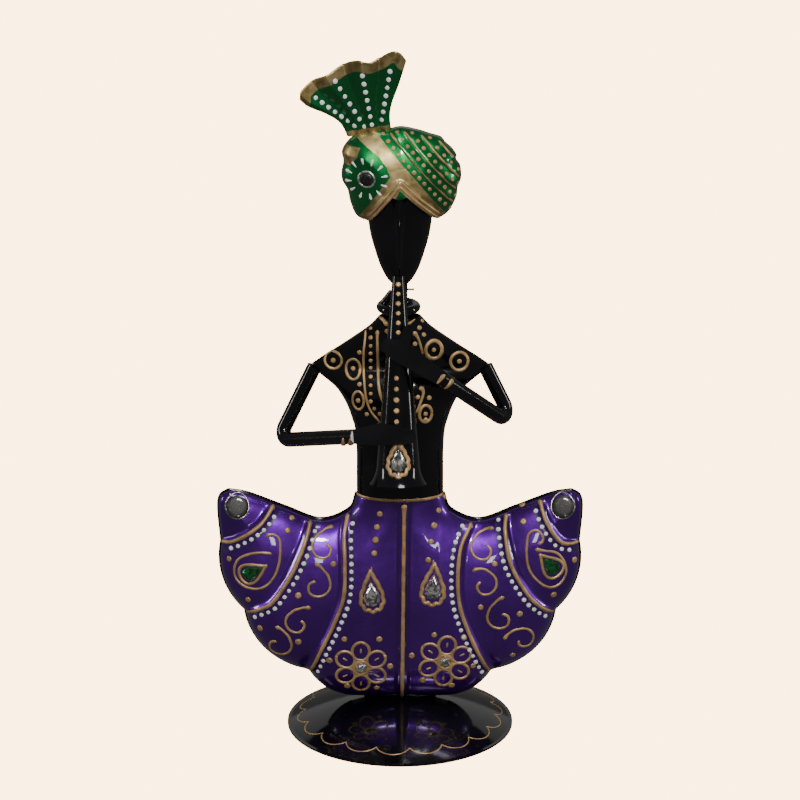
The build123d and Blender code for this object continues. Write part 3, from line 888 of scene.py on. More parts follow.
CREST_TOP = (
    (-46.0, 307.6), (-45.2, 311.8), (-40, 316.4), (-35.3, 318.6), (-32.1, 320.2), (-28.8, 322.4),
    (-23.6, 325.1), (-19.2, 326.1), (-16.2, 325.4), (-13.4, 325.0), (-10.1, 326.5), (-6.4, 329.2),
    (-2.8, 330.6), (0.6, 329.4), (3.0, 325.8))
CREST_RIDGES = (0.05, 0.30, 0.60, 0.885)


def crest_sheet(name, material, sizes):
    """The turban's pleated fan: ridges spread from its foot to a scalloped gilt border."""
    top = even(smooth_curve(CREST_TOP, 120), 120)
    left = smooth_curve([(-24.2, 289.6), (-27.4, 296.0), (-33.6, 300.4), (-42.0, 304.2), CREST_TOP[0]], 60)
    right = smooth_curve([(-3.6, 290.0), (-4.6, 298.8), (-3.6, 305.5), (-0.4, 314.6), CREST_TOP[-1]], 60)
    bottom = np.linspace(left[0], right[0], 20)
    across, up = np.linspace(0, 1, 97), np.linspace(0, 1, 60)
    flat = coons(left, right, bottom, top, across, up)
    marks = (-0.06,) + tuple((a + b) / 2 for a, b in zip(CREST_RIDGES, CREST_RIDGES[1:])) + (1.02,)
    knots = sorted(marks + CREST_RIDGES)
    heights = [1.0 if k in CREST_RIDGES else 0.0 for k in knots]
    fold = np.interp(across, knots, heights) ** 0.9
    pleat = sizes.pleat / MM * fold[None, :] * (0.45 + 0.55 * up[:, None])
    lean = 1.5 * (1 - up[:, None])
    y = SEAM_Y - 1.0 - pleat + lean
    flat2 = flat.reshape(-1, 2)
    points = np.stack([flat[..., 0], y, flat[..., 1]], axis=-1).reshape(-1, 3)
    gilt = np.minimum(gap_to(flat2, top) - 5.0, flat2[:, 1] - (293.6 + 0.16 * (flat2[:, 0] + 14)))
    piece = new_piece(
        name, points, grid_quads(len(up), len(across)), material, marks={"gilding": gilt})
    return thicken(piece, sizes.gauge)


# ------------------------------------------------------------------- motifs
def scroll(centre, size, start, turn, reach):
    """A comma scroll: a long tail that winds into a small eye."""
    t = np.linspace(0, 1, 60)
    angle = math.radians(start) + turn * math.radians(335) * t
    radius = size * np.interp(t, (0, 0.1, 0.22, 0.7, 0.86, 1), (reach, 1.32, 1.06, 1.0, 0.72, 0.3))
    return np.stack([centre[0] + radius * np.cos(angle), centre[1] + radius * np.sin(angle)], axis=1)


def turned(centre, a, b, turn):
    """Places at a and b from a centre, in axes turned by an angle."""
    c, s = math.cos(turn), math.sin(turn)
    return np.stack([centre[0] + a * c - b * s, centre[1] + a * s + b * c], axis=1)


def ring_line(centre, across, up, turn=0.0, count=48):
    t = np.linspace(0, 2 * math.pi, count, endpoint=False)
    return turned(centre, across * np.cos(t), up * np.sin(t), turn)


def drop_line(centre, width, height, turn=0.0, lace=0.0, count=96):
    """A teardrop with its point up, its edge optionally scalloped like lace."""
    t = np.linspace(0, 2 * math.pi, count, endpoint=False)
    a = width / 1.32 * np.sin(t) * np.sin(t / 2) ** 1.6
    b = height / 2 * np.cos(t)
    if lace:
        swell = lace * np.abs(np.sin(t * 6.5))
        a, b = a * (1 + swell), b * (1 + swell * np.sin(t / 2))
    return turned(centre, a, b, turn)


def flower(tray, centre, turn):
    """Six looped petals round a stone, each with a seed of paint inside."""
    for k in range(6):
        angle = math.radians(turn + 60 * k)
        out = np.array((math.cos(angle), math.sin(angle)))
        middle = np.array(centre) + out * 8.4
        tray.line(closed(ring_line(middle, 4.6, 4.1, angle)), 1.7, closed=True)
        tray.line([middle + out * 1.6, middle - out * 1.0], 1.5, heads=(0.0, -0.4))
    tray.line(closed(ring_line(centre, 3.4, 3.4)), 2.2, closed=True)


def pair_centres(node, half_x, half_z):
    """The two centres of a left and right pair, the left one lower."""
    low, high = span(node)
    return (low[0] + half_x, low[2] + half_z), (high[0] - half_x, high[2] - half_z)


MIRRORS = pair_centres("skirt_mirrors", 5.3, 5.3)
CLEAR_DROPS = pair_centres("clear_stones", 4.0, 6.5)
FLOWER_STONES = pair_centres("flower_stones", 2.5, 2.5)
GREEN_EYES = ((-69.4, SEAT_Z + 67.0), (70.9, SEAT_Z + 70.4))
DROP_LEANS = (0.06, -0.06)
EYE_LEANS = (math.radians(-62), math.radians(42))
TURBAN_MIRROR = tuple(np.array(span("turban_mirror")).mean(0)[[0, 2]])

SCROLLS = (
    ((-36.3, 79.3), 5.0, 60, 1, 1.95), ((-38.8, 61.2), 5.6, 99, -1, 1.9),
    ((-48.8, 42.5), 5.3, 47, 1, 1.85), ((-57.6, 30.0), 5.7, 100, -1, 1.75),
    ((39.2, 79.0), 5.4, 57, 1, 1.8), ((40.0, 62.0), 5.5, 134, -1, 1.5),
    ((47.2, 45.0), 5.6, 77, 1, 1.9), ((58.2, 33.3), 5.3, 180, -1, 1.65))
EYE_LOOPS = (
    ((-63.6, 84.7), (-59.7, 85.2), (-57.0, 83.0), (-56.6, 78.0), (-57.2, 71.3), (-59.4, 65.2),
     (-63.0, 60.6), (-67.7, 58.5), (-73.5, 59.2), (-77.6, 62.6), (-78.6, 67.7), (-76.6, 72.5),
     (-72.2, 75.3), (-66.2, 76.6), (-60.4, 76.1)),
    ((63.7, 78.2), (68.8, 77.3), (74.1, 76.0), (77.6, 71.6), (78.8, 65.6), (75.8, 60.4), (71.0, 59.0),
     (65.7, 62.2), (61.6, 67.4), (60.0, 73.5), (60.0, 80.6), (61.0, 85.6), (64.4, 87.2), (67.3, 84.8),
     (67.4, 81.9), (65.0, 80.8)))
SKIRT_DOTS = (
    (-9.5, 95.8), (-10.8, 89.5), (-11.5, 83.4), (-12.1, 77.0), (21.1, 100.9), (18.3, 96.4), (16.1, 89.9),
    (14.6, 82.4), (13.3, 73.6), (-26.4, 34.3), (-9.8, 34.1), (-33.6, 23.0), (-4.7, 20.0), (-25.1, 9.3),
    (-11.1, 8.0), (16.2, 36.4), (5.6, 25.5), (10.8, 12.5), (24.6, 9.8), (34.8, 19.8), (30.4, 35.1),
    (-51.2, 91.9), (-53.1, 86.8), (-37.1, 90.1), (-31.5, 71.4), (-48.2, 56.1), (-66.6, 37.7), (-48.4, 32.3),
    (-81.0, 72.0), (-72.1, 52.1), (57.8, 96.9), (58.3, 90.9), (44.8, 71.6), (72.9, 54.8), (38.3, 50.2),
    (56.8, 46.7), (53.7, 24.3), (82.8, 71.0))


WAISTCOAT_STROKES = (  # points, how finely drawn, girth, swollen ends
    (((-16, 200), (-16.3, 193), (-17, 186.9), (-17, 178.5), (-16.1, 166.7), (-13.8, 159.2),
      (-9.2, 153.6)), 80, 1.3, (0, -0.3)),
    (((-10.6, 197.5), (-10.5, 190), (-10.3, 183.3), (-10, 172), (-8.2, 163.5)), 60, 1.5, (0.9, -0.4)),
    (((6.3, 197.3), (8.6, 193.5), (10.8, 186.1)), 30, 1.4, (1.2, -0.2)),
    (((9.4, 171.2), (10.9, 168), (9.2, 162.5), (7.6, 158.5)), 30, 1.5, (1.1, -0.2)),
    (((3.7, 200.6), (6.4, 202.2), (9.0, 204.8)), 20, 1.3, (0.3, -0.4)),
    (((-5.6, 199.6), (-8, 202.2), (-11.4, 203)), 20, 2.0, (0.6, -0.5)))
WAISTCOAT_RINGS = (  # centre, half width, half height, girth
    ((-31.2, 182.0), 4.0, 4.0, 1.5), ((-21.9, 178.4), 3.3, 4.7, 1.5), ((-19.6, 163.6), 2.6, 4.6, 1.4),
    ((15.8, 188.0), 3.8, 4.4, 2.0), ((27.7, 181.7), 4.1, 4.3, 1.7), ((12.0, 157.8), 2.9, 4.2, 1.7))
WAISTCOAT_DOTS = (
    (10.4, 201.2), (9.0, 198.6), (11.1, 195.4), (7.0, 191.4), (8.4, 166.2), (13.6, 165.6),
    (-18.9, 186.6), (-18.9, 171.6), (-15.6, 157.2), (-5.9, 197.3), (-12.2, 200.3))
WRIST_STROKES = (
    ((-26.4, 155.4), (-26.2, 149.8)), ((-23.0, 156.2), (-22.8, 150.4)), ((21.0, 184.2), (17.0, 180.0)),
    ((24.6, 181.2), (20.4, 176.6)))
TURBAN_DOT_ROWS = (  # place across the folds, pitch, size
    (186.8, 3.5, 2.1), (192.3, 3.4, 2.1), (197.2, 3.6, 2.1), (201.8, 4.0, 2.0), (205.8, 3.6, 1.8))
CREST_DOT_ROWS = (
    ((-38.6, 308.4), (-21.0, 294.6)), ((-29.6, 316.4), (-16.4, 294.2)), ((-17.2, 319.0), (-12.9, 295.4)),
    ((-4.6, 321.0), (-8.4, 297.6)))


def raised_from_seat(points):
    return [(x, SEAT_Z + up) for x, up in points]


def stack_ends(rings, count, first):
    """The faces that close a stack of rings at its top and at its foot."""
    last = first + (rings - 1) * count
    return [tuple(last + k for k in range(count)), tuple(first + count - 1 - k for k in range(count))]


def seat_of(surface, place):
    """Where a stone sits on a surface, and its directions to the right, upwards and outwards."""
    seat, normals = lay_on(surface, [place])
    axis = Vector(normals[0])
    right = Vector((0, 0, 1)).cross(axis).normalized()
    return Vector(seat[0]), right, axis.cross(right), axis


def faceted(name, outlines, surface, rise, material, table=0.55):
    """Cut stones seated on the surface: a girdle, a crown of facets and a table for each outline."""
    sink = 0.2
    points, faces = [], []
    for outline in outlines:
        centre = outline.mean(0)
        seat, right, upward, axis = seat_of(surface, centre)
        base = seat - axis * sink
        count = len(outline)
        first = len(points)
        layers = ((1.0, 0.0), (1.0, 0.3), ((1 + table) / 2, 0.72), (table, 1.0))
        for index, (share, level) in enumerate(layers):
            twist = (index % 2) * 0.5
            for k in range(count):
                a, b = outline[k] - centre, outline[(k + 1) % count] - centre
                flat = (a * (1 - twist) + b * twist) * share if index > 1 else a * share
                out = level * rise + sink * (level > 0)
                points.append(base + right * flat[0] + upward * flat[1] + axis * out)
        girdle, crown, bevel = (ring_quads(2, count, first + r * count) for r in range(3))
        crown = [facet for a, b, c, d in crown for facet in ((a, b, d), (b, c, d))]
        faces += girdle + crown + bevel + stack_ends(len(layers), count, first)
    piece = new_piece(name, [tuple(p) for p in points], faces, finish(material), smooth=False)
    return outward_faces(piece)


def outward_faces(piece):
    shell = bmesh.new()
    shell.from_mesh(piece.data)
    bmesh.ops.recalc_face_normals(shell, faces=shell.faces)
    shell.to_mesh(piece.data)
    shell.free()
    return piece


def discs(name, places, surface, radius, wobble):
    """Round glasses seated flat on the surface, very slightly domed and out of round."""
    rise, dome, count = 0.7, 0.1, 40
    points, faces = [], []
    for number, place in enumerate(places):
        base, right, upward, axis = seat_of(surface, place)
        first = len(points)
        layers = (
            (1.0, -0.8), (1.0, rise * 0.75), (0.93, rise), (0.6, rise + dome * 0.7), (0.3, rise + dome))
        for share, level in layers:
            for k in range(count):
                angle = 2 * math.pi * k / count
                bump = wobble * math.sin(5 * angle + number) + wobble * 0.6 * math.sin(9 * angle)
                r = radius * share * (1 + bump)
                point = base + right * r * math.cos(angle) + upward * r * math.sin(angle)
                points.append(point + axis * level)
        faces += ring_quads(len(layers), count, first) + stack_ends(len(layers), count, first)
    piece = new_piece(name, [tuple(p) for p in points], faces, finish("mirror_glass"))
    return outward_faces(piece)


# --------------------------------------------------------------- properties
def length(name, description, default, low, high):
    """A length in metres."""
    return FloatProperty(
        name=name, description=description, default=default, min=low, max=high, unit="LENGTH",
        subtype="DISTANCE")


def tint(name, description, default):
    """A colour."""
    return FloatVectorProperty(
        name=name, description=description, default=default, size=3, min=0, max=1, subtype="COLOR")


class FigureSizes(bpy.types.PropertyGroup):
    gauge: length("Sheet gauge", "Thickness of the pressed iron sheet", 0.0009, 0.0003, 0.002)
    flute: length(
        "Flute height", "How far each seam ridge stands above the groove beside it", 0.0026, 0, 0.006)
    pillow: length("Panel pillow", "How far a skirt panel swells between its seams", 0.0012, 0, 0.004)
    roll: length("Rim roll", "Width over which a sheet rolls down to its rim", 0.02, 0.005, 0.04)
    belly: length("Skirt belly", "How far the skirt swells forward below the waist", 0.0046, 0, 0.01)
    fold: length("Turban fold", "Height of each wound fold's step", 0.0012, 0, 0.003)
    pleat: length("Crest pleat", "Height of the fan's ridges", 0.0032, 0, 0.006)
    seam_line: length("Seam line", "Width of the gold line along each seam", 0.0018, 0.0005, 0.004)
    bead: length("White bead", "Diameter of the white beads", 0.0022, 0.0005, 0.004)
    bead_pitch: length("Bead pitch", "Distance between neighbouring white beads", 0.0038, 0.002, 0.01)
    dot: length("Gold dot", "Diameter of the larger gold dots", 0.0031, 0.001, 0.006)
    scallops: IntProperty(
        name="Base scallops", description="Number of scallops in the base's gold line", default=18,
        min=3, max=60)


class FigureColours(bpy.types.PropertyGroup):
    black: tint("Black enamel", "Colour of the body, arms, instrument and base", (0.0022, 0.0022, 0.003))
    purple: tint("Purple lacquer", "Colour of the skirt", (0.105, 0.007, 0.30))
    green: tint("Green lacquer", "Colour of the turban and its crest", (0.0, 0.20, 0.04))
    gold: tint("Gold paint", "Colour of the raised lines and borders", (0.50, 0.31, 0.13))
    white: tint("White paint", "Colour of the beads and petals", (0.97, 0.96, 0.94))


class StudioSettings(bpy.types.PropertyGroup):
    backdrop: tint("Backdrop", "Colour of the seamless floor and background", (1.0, 0.68, 0.365))
    backdrop_level: FloatProperty(
        name="Backdrop brightness", description="How brightly the floor and background are lit",
        default=9.2, min=0, max=40)
    key: FloatProperty(
        name="Key light", description="Power of the main light, above the front", default=26.0, min=0,
        unit="POWER")
    distance: length("Camera distance", "From the camera to the middle of the figure", 2.0, 0.5, 10)
    elevation: FloatProperty(
        name="Camera elevation", description="How far the camera looks down", default=math.radians(19.1),
        min=0, max=1.5, unit="ROTATION", subtype="ANGLE")
    lens: FloatProperty(
        name="Lens", description="Focal length on a 36 mm sensor, in millimetres", default=192.24,
        min=20, max=400)


# ---------------------------------------------------------------- operators
class FIGURE_OT_skirt(bpy.types.Operator):
    """Presses the two halves of the fluted skirt and crimps their rim"""
    bl_idname = "figure.skirt"
    bl_label = "Skirt"

    def execute(self, context):
        sizes = context.scene.figure_sizes
        for (front, side), paint in zip(HALVES, ("purple_lacquer", "black_enamel")):
            piece = skirt_sheet(f"skirt_{side}_sheet", front, finish(paint), sizes)
            settle(piece, paint, f"skirt_{side}")
        tray = PaintTray(None)
        crimp_shift, crimp_girth = 0.55, 1.5
        for side in (1, -1):
            rim = even(SKIRT_RIM * np.array((side, 1)), 420)
            places = np.stack([rim[:, 0], np.full(len(rim), SEAM_Y + crimp_shift), rim[:, 1]], axis=1)
            tray.lines.append((places, np.full(len(rim), crimp_girth), False))
        settle(tray.lines_piece("skirt_rim", "black_enamel", sides=10), "black_enamel")
        return {"FINISHED"}


class FIGURE_OT_torso(bpy.types.Operator):
    """Presses the two halves of the torso with its pinched shoulders"""
    bl_idname = "figure.torso"
    bl_label = "Torso"

    def execute(self, context):
        sizes = context.scene.figure_sizes
        pressed_pair("torso", torso_rows(), sizes)
        return {"FINISHED"}


class FIGURE_OT_head(bpy.types.Operator):
    """Presses the plain shield-shaped head with its sharp middle ridge"""
    bl_idname = "figure.head"
    bl_label = "Head"

    def execute(self, context):
        sizes = context.scene.figure_sizes
        pressed_pair("head", head_rows(), sizes, nose_crease)
        return {"FINISHED"}


class FIGURE_OT_turban(bpy.types.Operator):
    """Presses the wound turban and its pleated crest"""
    bl_idname = "figure.turban"
    bl_label = "Turban and crest"

    def execute(self, context):
        sizes = context.scene.figure_sizes
        for front, side in HALVES:
            piece = turban_half(f"turban_{side}_sheet", front, finish("green_lacquer"), sizes)
            settle(piece, "green_lacquer", f"turban_{side}")
        crest = crest_sheet("crest_fan", finish("green_lacquer"), sizes)
        settle(crest, "green_lacquer", "turban_crest")
        return {"FINISHED"}


class FIGURE_OT_bare_parts(bpy.types.Operator):
    """Enamels the solids that keep their shape: base, arms, neck and instrument"""
    bl_idname = "figure.bare_parts"
    bl_label = "Base, arms, neck and pipe"

    def execute(self, context):
        for name in ("base_disc", "base_weld", "arm_right", "arm_left", "neck_rod", "neck_ring",
                     "neck_tie", "pipe_tube", "pipe_bell"):
            for slot in NODES[name].material_slots:
                slot.material = finish("black_enamel")
        return {"FINISHED"}


class FIGURE_OT_seam_paint(bpy.types.Operator):
    """Pipes the gold seam lines and sets the rows of white beads"""
    bl_idname = "figure.seam_paint"
    bl_label = "Seam lines and beads"

    def execute(self, context):
        sizes = context.scene.figure_sizes
        surface = surface_of("skirt_front_sheet")
        lines = PaintTray(surface)
        width = sizes.seam_line / MM
        for side in (1, -1):
            for seam in SEAMS[side]:
                path = even(seam[::-1] * np.array((side, 1)), 200)[2:-2]
                lines.line(path, width, heads=(0.75, -0.1))
        lines.line(MIDDLE_SEAM[::-1][2:-1], width, heads=(0.7, 0.5))
        waist = np.stack([np.linspace(-HALF_WAIST, HALF_WAIST, 60), np.full(60, WAIST_Z)], axis=1)
        belt = PaintTray(surface_of("torso_front_sheet", "skirt_front_sheet"))
        belt.line(waist, width * 0.95, heads=(0.5, 0.2))
        lines.lines += belt.lines
        settle(lines.lines_piece("seam_lines", "gold_paint"), "gold_paint")
        beads = PaintTray(surface)
        for line in bead_lines():
            count = int(np.linalg.norm(np.diff(line, axis=0), axis=1).sum() / (sizes.bead_pitch / MM))
            beads.dot(even(line, count + 2)[1:-1], sizes.bead / MM)
        settle(beads.dots_piece("seam_beads", "white_paint", 0.75, 0.12), "white_paint")
        return {"FINISHED"}


class FIGURE_OT_skirt_motifs(bpy.types.Operator):
    """Pipes the scrolls, flowers, eyes and dots of the skirt"""
    bl_idname = "figure.skirt_motifs"
    bl_label = "Skirt motifs"

    def execute(self, context):
        sizes = context.scene.figure_sizes
        surface = surface_of("skirt_front_sheet")
        tray = PaintTray(surface)
        for (x, up), size, start, turn, reach in SCROLLS:
            tray.line(scroll((x, SEAT_Z + up), size, start, turn, reach), 1.45, heads=(1.0, 0.25))
        for loop in EYE_LOOPS:
            tray.line(smooth_curve(raised_from_seat(loop), 140), 1.45, heads=(1.0, 0.5))
        for centre, turn in zip(FLOWER_STONES, (90, 84)):
            flower(tray, centre, turn)
        settle(tray.lines_piece("skirt_motifs", "gold_paint"), "gold_paint")
        dots = PaintTray(surface)
        dots.dot(raised_from_seat(SKIRT_DOTS), sizes.dot / MM)
        settle(dots.dots_piece("skirt_dots", "gold_paint", 0.45, 0.1), "gold_paint")
        return {"FINISHED"}


class FIGURE_OT_torso_paint(bpy.types.Operator):
    """Pipes the waistcoat's edging, rings and dots, the wrist strokes and the pipe's row of dots"""
    bl_idname = "figure.torso_paint"
    bl_label = "Torso, wrist and pipe paint"

    def execute(self, context):
        torso = surface_of("torso_front_sheet")
        tray, dots = PaintTray(torso), PaintTray(torso)
        for points, count, girth, heads in WAISTCOAT_STROKES:
            tray.line(smooth_curve(points, count), girth, heads=heads)
        for (x, z), across, up, width in WAISTCOAT_RINGS:
            tray.line(closed(ring_line((x, z), across, up)), width, closed=True)
            dots.dot([(x, z)], 2.3)
        tray.line([(10.8, 155.0), (13.4, 154.6)], 3.2)
        settle(tray.lines_piece("torso_lines", "gold_paint"), "gold_paint")
        dots.dot([(-13.7, 197.6 - 3.75 * k) for k in range(10)] + [(-12.0, 160.4), (-9.3, 158.0)], 2.0)
        dots.dot(WAISTCOAT_DOTS, 2.3)
        settle(dots.dots_piece("torso_dots", "gold_paint", 0.5, 0.1), "gold_paint")
        hands = PaintTray(surface_of("arm_right", "arm_left"))
        for top, foot in WRIST_STROKES:
            hands.line([top, foot], 2.1, heads=(-0.3, 0.9) if top[0] < 0 else (0.7, -0.4), step=0.3)
        settle(hands.lines_piece("wrist_strokes", "gold_paint"), "gold_paint")
        row = PaintTray(surface_of("pipe_tube"))
        mouth = float(span("pipe_tube")[1][2])
        upper = np.linspace(mouth - 3.5, 197.5, 7)
        lower = np.linspace(181.5, 157.5, 6)
        row.dot([(-0.8, z) for z in upper], 2.4)
        row.dot([(-1.6, z) for z in lower], 2.6)
        settle(row.dots_piece("pipe_dots", "gold_paint", 0.6, 0.14), "gold_paint")
        return {"FINISHED"}


class FIGURE_OT_turban_paint(bpy.types.Operator):
    """Pipes the turban's folds and brim, its rows of dots, and the crest's white dots and petals"""
    bl_idname = "figure.turban_paint"
    bl_label = "Turban and crest paint"

    def execute(self, context):
        surface = surface_of("turban_front_sheet")
        tray, dots = PaintTray(surface), PaintTray(surface)
        c, s = math.cos(FOLD_TURN), math.sin(FOLD_TURN)

        def fold_points(level, count):
            run = np.linspace(-270, -160, count)
            line = np.stack([level * c + run * s, level * s - run * c], axis=1)
            return line[outside_by(line, np.array(TURBAN_RIM)) < -0.9]

        for level in FOLDS:
            tray.line(fold_points(level, 500), 1.25, heads=(-0.1, -0.1))
        for corner in (TURBAN_RIM[0], TURBAN_RIM[-1]):
            for lift, girth in ((0.5, 1.5), (2.7, 1.1)):
                shifted = np.array([BRIM_APEX, corner]) + np.array((0, lift * 1.35))
                tray.line(even(shifted, 60), girth, heads=(0.1, -0.2))
        settle(tray.lines_piece("turban_lines", "gold_paint"), "gold_paint")
        for level, pitch, size in TURBAN_DOT_ROWS:
            line = fold_points(level, 600)
            line = line[outside_by(line, GILT_BAND) > 0.9]
            if len(line) > 4:
                count = int(np.linalg.norm(line[-1] - line[0]) / pitch)
                dots.dot(even(line, count + 1), size)
        settle(dots.dots_piece("turban_dots", "gold_paint", 0.45, 0.12), "gold_paint")
        petals = PaintTray(surface)
        for k in range(12):
            angle = math.radians(12 + 30 * k)
            out = np.array((math.cos(angle), math.sin(angle)))
            middle = np.array(TURBAN_MIRROR) + out * 8.6
            petals.line([middle + out * 1.5, middle - out * 1.7], 1.25, heads=(0.55, -0.5), step=0.25)
        settle(petals.lines_piece("turban_petals", "white_paint"), "white_paint")
        fan = PaintTray(surface_of("crest_fan"))
        for top, foot in CREST_DOT_ROWS:
            fan.dot(np.linspace(top, foot, 7), 2.3)
        settle(fan.dots_piece("crest_dots", "white_paint", 0.5, 0.1), "white_paint")
        return {"FINISHED"}


class FIGURE_OT_base_paint(bpy.types.Operator):
    """Pipes the thin scalloped line round the base"""
    bl_idname = "figure.base_paint"
    bl_label = "Base line"

    def execute(self, context):
        sizes = context.scene.figure_sizes
        disc = surface_of("base_disc")
        tray = PaintTray(disc, aim=(0, 0, -1), start=-0.05)
        turn = np.linspace(0, 2 * math.pi, sizes.scallops * 24, endpoint=False)
        swing = np.abs(np.sin(turn * sizes.scallops / 2 + 0.675))
        radius = BASE_RADIUS * (0.825 + 0.09 * swing**0.55)
        line = np.stack([radius * np.cos(turn), radius * np.sin(turn) + 2.3], axis=1)
        tray.line(closed(line), 0.7, closed=True, step=0.7)
        settle(tray.lines_piece("base_line", "gold_paint"), "gold_paint")
        return {"FINISHED"}


class FIGURE_OT_stones(bpy.types.Operator):
    """Sets the mirrors and cut stones in their painted frames"""
    bl_idname = "figure.stones"
    bl_label = "Mirrors and stones"

    def execute(self, context):
        surface = surface_of("skirt_front_sheet")
        clear = [
            drop_line(place, 7.6, 13.4, lean, count=16) for place, lean in zip(CLEAR_DROPS, DROP_LEANS)]
        settle(faceted("clear_drops", clear, surface, 2.4, "clear_glass", table=0.62),
               "clear_glass", "clear_stones")
        green = [drop_line(place, 6.6, 10.4, lean, count=14) for place, lean in zip(GREEN_EYES, EYE_LEANS)]
        settle(faceted("green_drops", green, surface, 2.0, "green_glass"), "green_glass", "green_stones")
        buds = [ring_line(p, 2.7, 2.7, count=10) for p in FLOWER_STONES]
        settle(faceted("flower_buds", buds, surface, 2.2, "clear_glass"), "clear_glass", "flower_stones")
        pipe = surface_of("pipe_tube", "pipe_bell")
        low, high = span("pipe_stone")
        centre = ((low[0] + high[0]) / 2, (low[2] + high[2]) / 2 + 0.6)
        bell_drop = [drop_line(centre, 6.6, 12.6, count=16)]
        settle(faceted("pipe_drop", bell_drop, pipe, 2.2, "clear_glass"), "clear_glass", "pipe_stone")

        frames = PaintTray(surface)
        for place, lean in zip(CLEAR_DROPS, DROP_LEANS):
            lace = drop_line((place[0], place[1] + 1.0), 9.4, 19.4, lean, lace=0.12, count=260)
            frames.line(closed(lace), 2.3, closed=True)
            frames.line([(place[0], place[1] + 9.6), (place[0], place[1] + 12.6)], 1.3, heads=(0.3, -0.5))
        for place, lean in zip(GREEN_EYES, EYE_LEANS):
            frames.line(closed(drop_line(place, 9.2, 14.0, lean)), 1.7, closed=True)
        rims = PaintTray(surface)
        for place in MIRRORS:
            rims.line(closed(ring_line(place, 5.6, 5.6)), 0.95, closed=True)
        settle(frames.lines_piece("stone_frames", "gold_paint"), "gold_paint")
        bell_frame = PaintTray(pipe)
        lace = drop_line((centre[0], centre[1] + 0.2), 8.4, 14.8, lace=0.16, count=260)
        bell_frame.line(closed(lace), 2.2, closed=True)
        settle(bell_frame.lines_piece("pipe_frame", "gold_paint"), "gold_paint")

        settle(discs("skirt_glasses", MIRRORS, surface, 5.3, 0.012), "mirror_glass", "skirt_mirrors")
        turban = surface_of("turban_front_sheet")
        settle(discs("turban_glass", [TURBAN_MIRROR], turban, 2.9, 0.01), "mirror_glass", "turban_mirror")
        rim = PaintTray(turban)
        rim.line(closed(ring_line(TURBAN_MIRROR, 3.7, 3.7)), 1.3, closed=True)
        rims.lines += rim.lines
        settle(rims.lines_piece("mirror_rims", "silver_edge"), "mirror_glass")
        return {"FINISHED"}


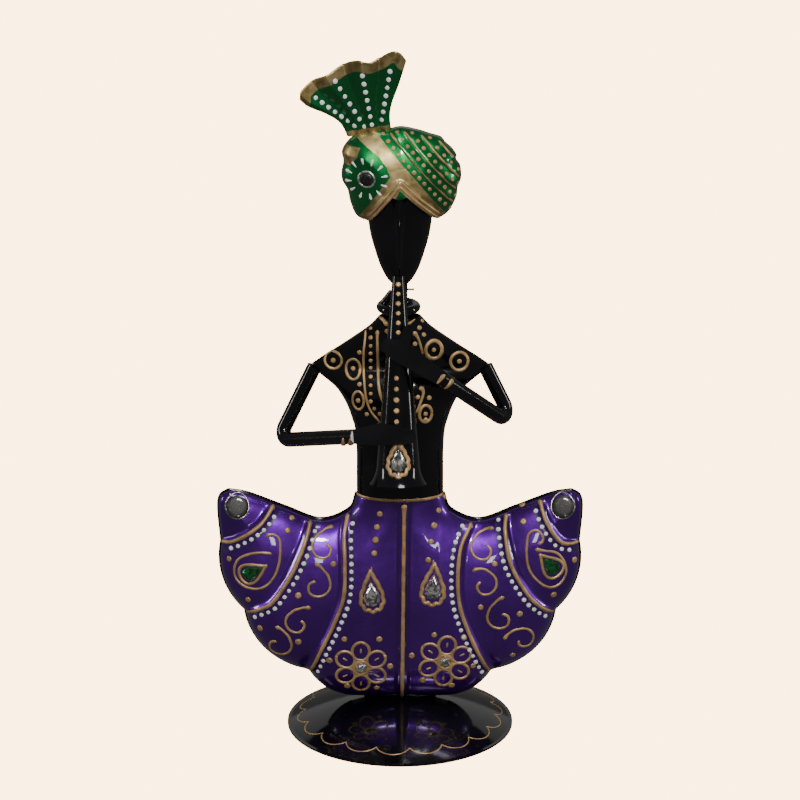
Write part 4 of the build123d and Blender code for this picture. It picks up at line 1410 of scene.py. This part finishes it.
class FIGURE_OT_stage(bpy.types.Operator):
    """Lays the pale floor, hangs the soft lights and places the camera"""
    bl_idname = "figure.stage"
    bl_label = "Stage"

    def area(self, name, place, size, power):
        """A rectangular light aimed at the middle of the figure."""
        light = bpy.data.lights.new(name, "AREA")
        light.shape = "RECTANGLE"
        light.size, light.size_y = size
        light.energy = power
        lamp = bpy.data.objects.new(name, light)
        lamp.location = place
        lamp.rotation_euler = (Vector((0, 0, 0.16)) - Vector(place)).to_track_quat("-Z", "Y").to_euler()
        bpy.context.scene.collection.objects.link(lamp)

    def execute(self, context):
        studio = context.scene.figure_studio
        rgb = tuple(studio.backdrop)
        count, drop = 72, -0.0002  # the floor lies just below the foot
        turn = np.linspace(0, 2 * math.pi, count, endpoint=False)
        rings = [0.4, 1.5, 4.0, 9.0]
        points = [(0, 0, drop)] + [(r * math.cos(a), r * math.sin(a), drop) for r in rings for a in turn]
        faces = [(0, 1 + k, 1 + (k + 1) % count) for k in range(count)]
        faces += [(a, d, c, b) for a, b, c, d in ring_quads(len(rings), count, 1)]
        mesh = bpy.data.meshes.new("floor")
        mesh.from_pydata(points, [], faces)
        mesh.materials.append(pale_floor(rgb, studio.backdrop_level))
        floor = bpy.data.objects.new("floor", mesh)
        context.scene.collection.objects.link(floor)
        floor.visible_glossy = floor.visible_diffuse = floor.visible_transmission = False

        world = bpy.data.worlds.new("studio")
        world.use_nodes = True
        context.scene.world = world
        sky = Graph(world.node_tree)
        backing = world.node_tree.nodes["Background"]
        seen = sky.add("ShaderNodeLightPath")
        dim = (0.11, 0.108, 0.105, 1)  # what every ray but the camera's own sees
        tone = sky.add("ShaderNodeMix", {"data_type": "RGBA"}, {0: seen, 6: dim, 7: colour(rgb)}, out=2)
        world.node_tree.links.new(tone.socket, backing.inputs["Color"])
        level = seen * (studio.backdrop_level - 1.0) + 1.0
        world.node_tree.links.new(level.socket, backing.inputs["Strength"])

        for name, place, size, share in (
                ("key", (0.1, -1.8, 1.3), (0.26, 0.26), 1.0), ("top", (0.3, -0.5, 1.9), (0.5, 0.4), 0.4),
                ("side_left", (-1.9, -0.1, 0.62), (0.14, 0.85), 0.28),
                ("side_right", (1.9, 0.0, 0.55), (0.14, 0.85), 0.28),
                ("front", (0.02, -1.9, 0.2), (0.1, 0.26), 0.05),
                ("back", (0.0, 1.8, 0.95), (2.4, 1.0), 0.08)):
            self.area(name, place, size, studio.key * share)

        camera = bpy.data.cameras.new("camera")
        camera.sensor_width = 36.0
        camera.lens = studio.lens
        camera.clip_end = 60.0
        eye = bpy.data.objects.new("camera", camera)
        target = Vector((0, 0, 0.1633))
        look = Vector((0, math.cos(studio.elevation), -math.sin(studio.elevation)))
        eye.location = target - look * studio.distance
        eye.rotation_euler = look.to_track_quat("-Z", "Y").to_euler()
        context.scene.collection.objects.link(eye)
        context.scene.camera = eye
        return {"FINISHED"}


STEPS = (
    FIGURE_OT_skirt, FIGURE_OT_torso, FIGURE_OT_head, FIGURE_OT_turban, FIGURE_OT_bare_parts,
    FIGURE_OT_seam_paint, FIGURE_OT_skirt_motifs, FIGURE_OT_torso_paint, FIGURE_OT_turban_paint,
    FIGURE_OT_base_paint, FIGURE_OT_stones, FIGURE_OT_stage)


class FIGURE_PT_panel(bpy.types.Panel):
    bl_idname = "FIGURE_PT_panel"
    bl_label = "Shehnai Player"
    bl_space_type = "VIEW_3D"
    bl_region_type = "UI"
    bl_category = "Shehnai Player"

    def draw(self, context):
        for key, group in GROUPS.items():
            box = self.layout.box()
            for name in group.__annotations__:
                box.prop(getattr(context.scene, key), name)
        for step in STEPS:
            self.layout.operator(step.bl_idname)


GROUPS = {"figure_sizes": FigureSizes, "figure_colours": FigureColours, "figure_studio": StudioSettings}


def register():
    for group in GROUPS.values():
        bpy.utils.register_class(group)
    for name, group in GROUPS.items():
        setattr(bpy.types.Scene, name, PointerProperty(type=group))
    for step in STEPS:
        bpy.utils.register_class(step)
    bpy.utils.register_class(FIGURE_PT_panel)


def unregister():
    bpy.utils.unregister_class(FIGURE_PT_panel)
    for step in reversed(STEPS):
        bpy.utils.unregister_class(step)
    for name in GROUPS:
        delattr(bpy.types.Scene, name)
    for group in GROUPS.values():
        bpy.utils.unregister_class(group)


def main():
    register()
    for step in STEPS:
        group, name = step.bl_idname.split(".")
        getattr(getattr(bpy.ops, group), name)()


if __name__ == "__main__":
    main()
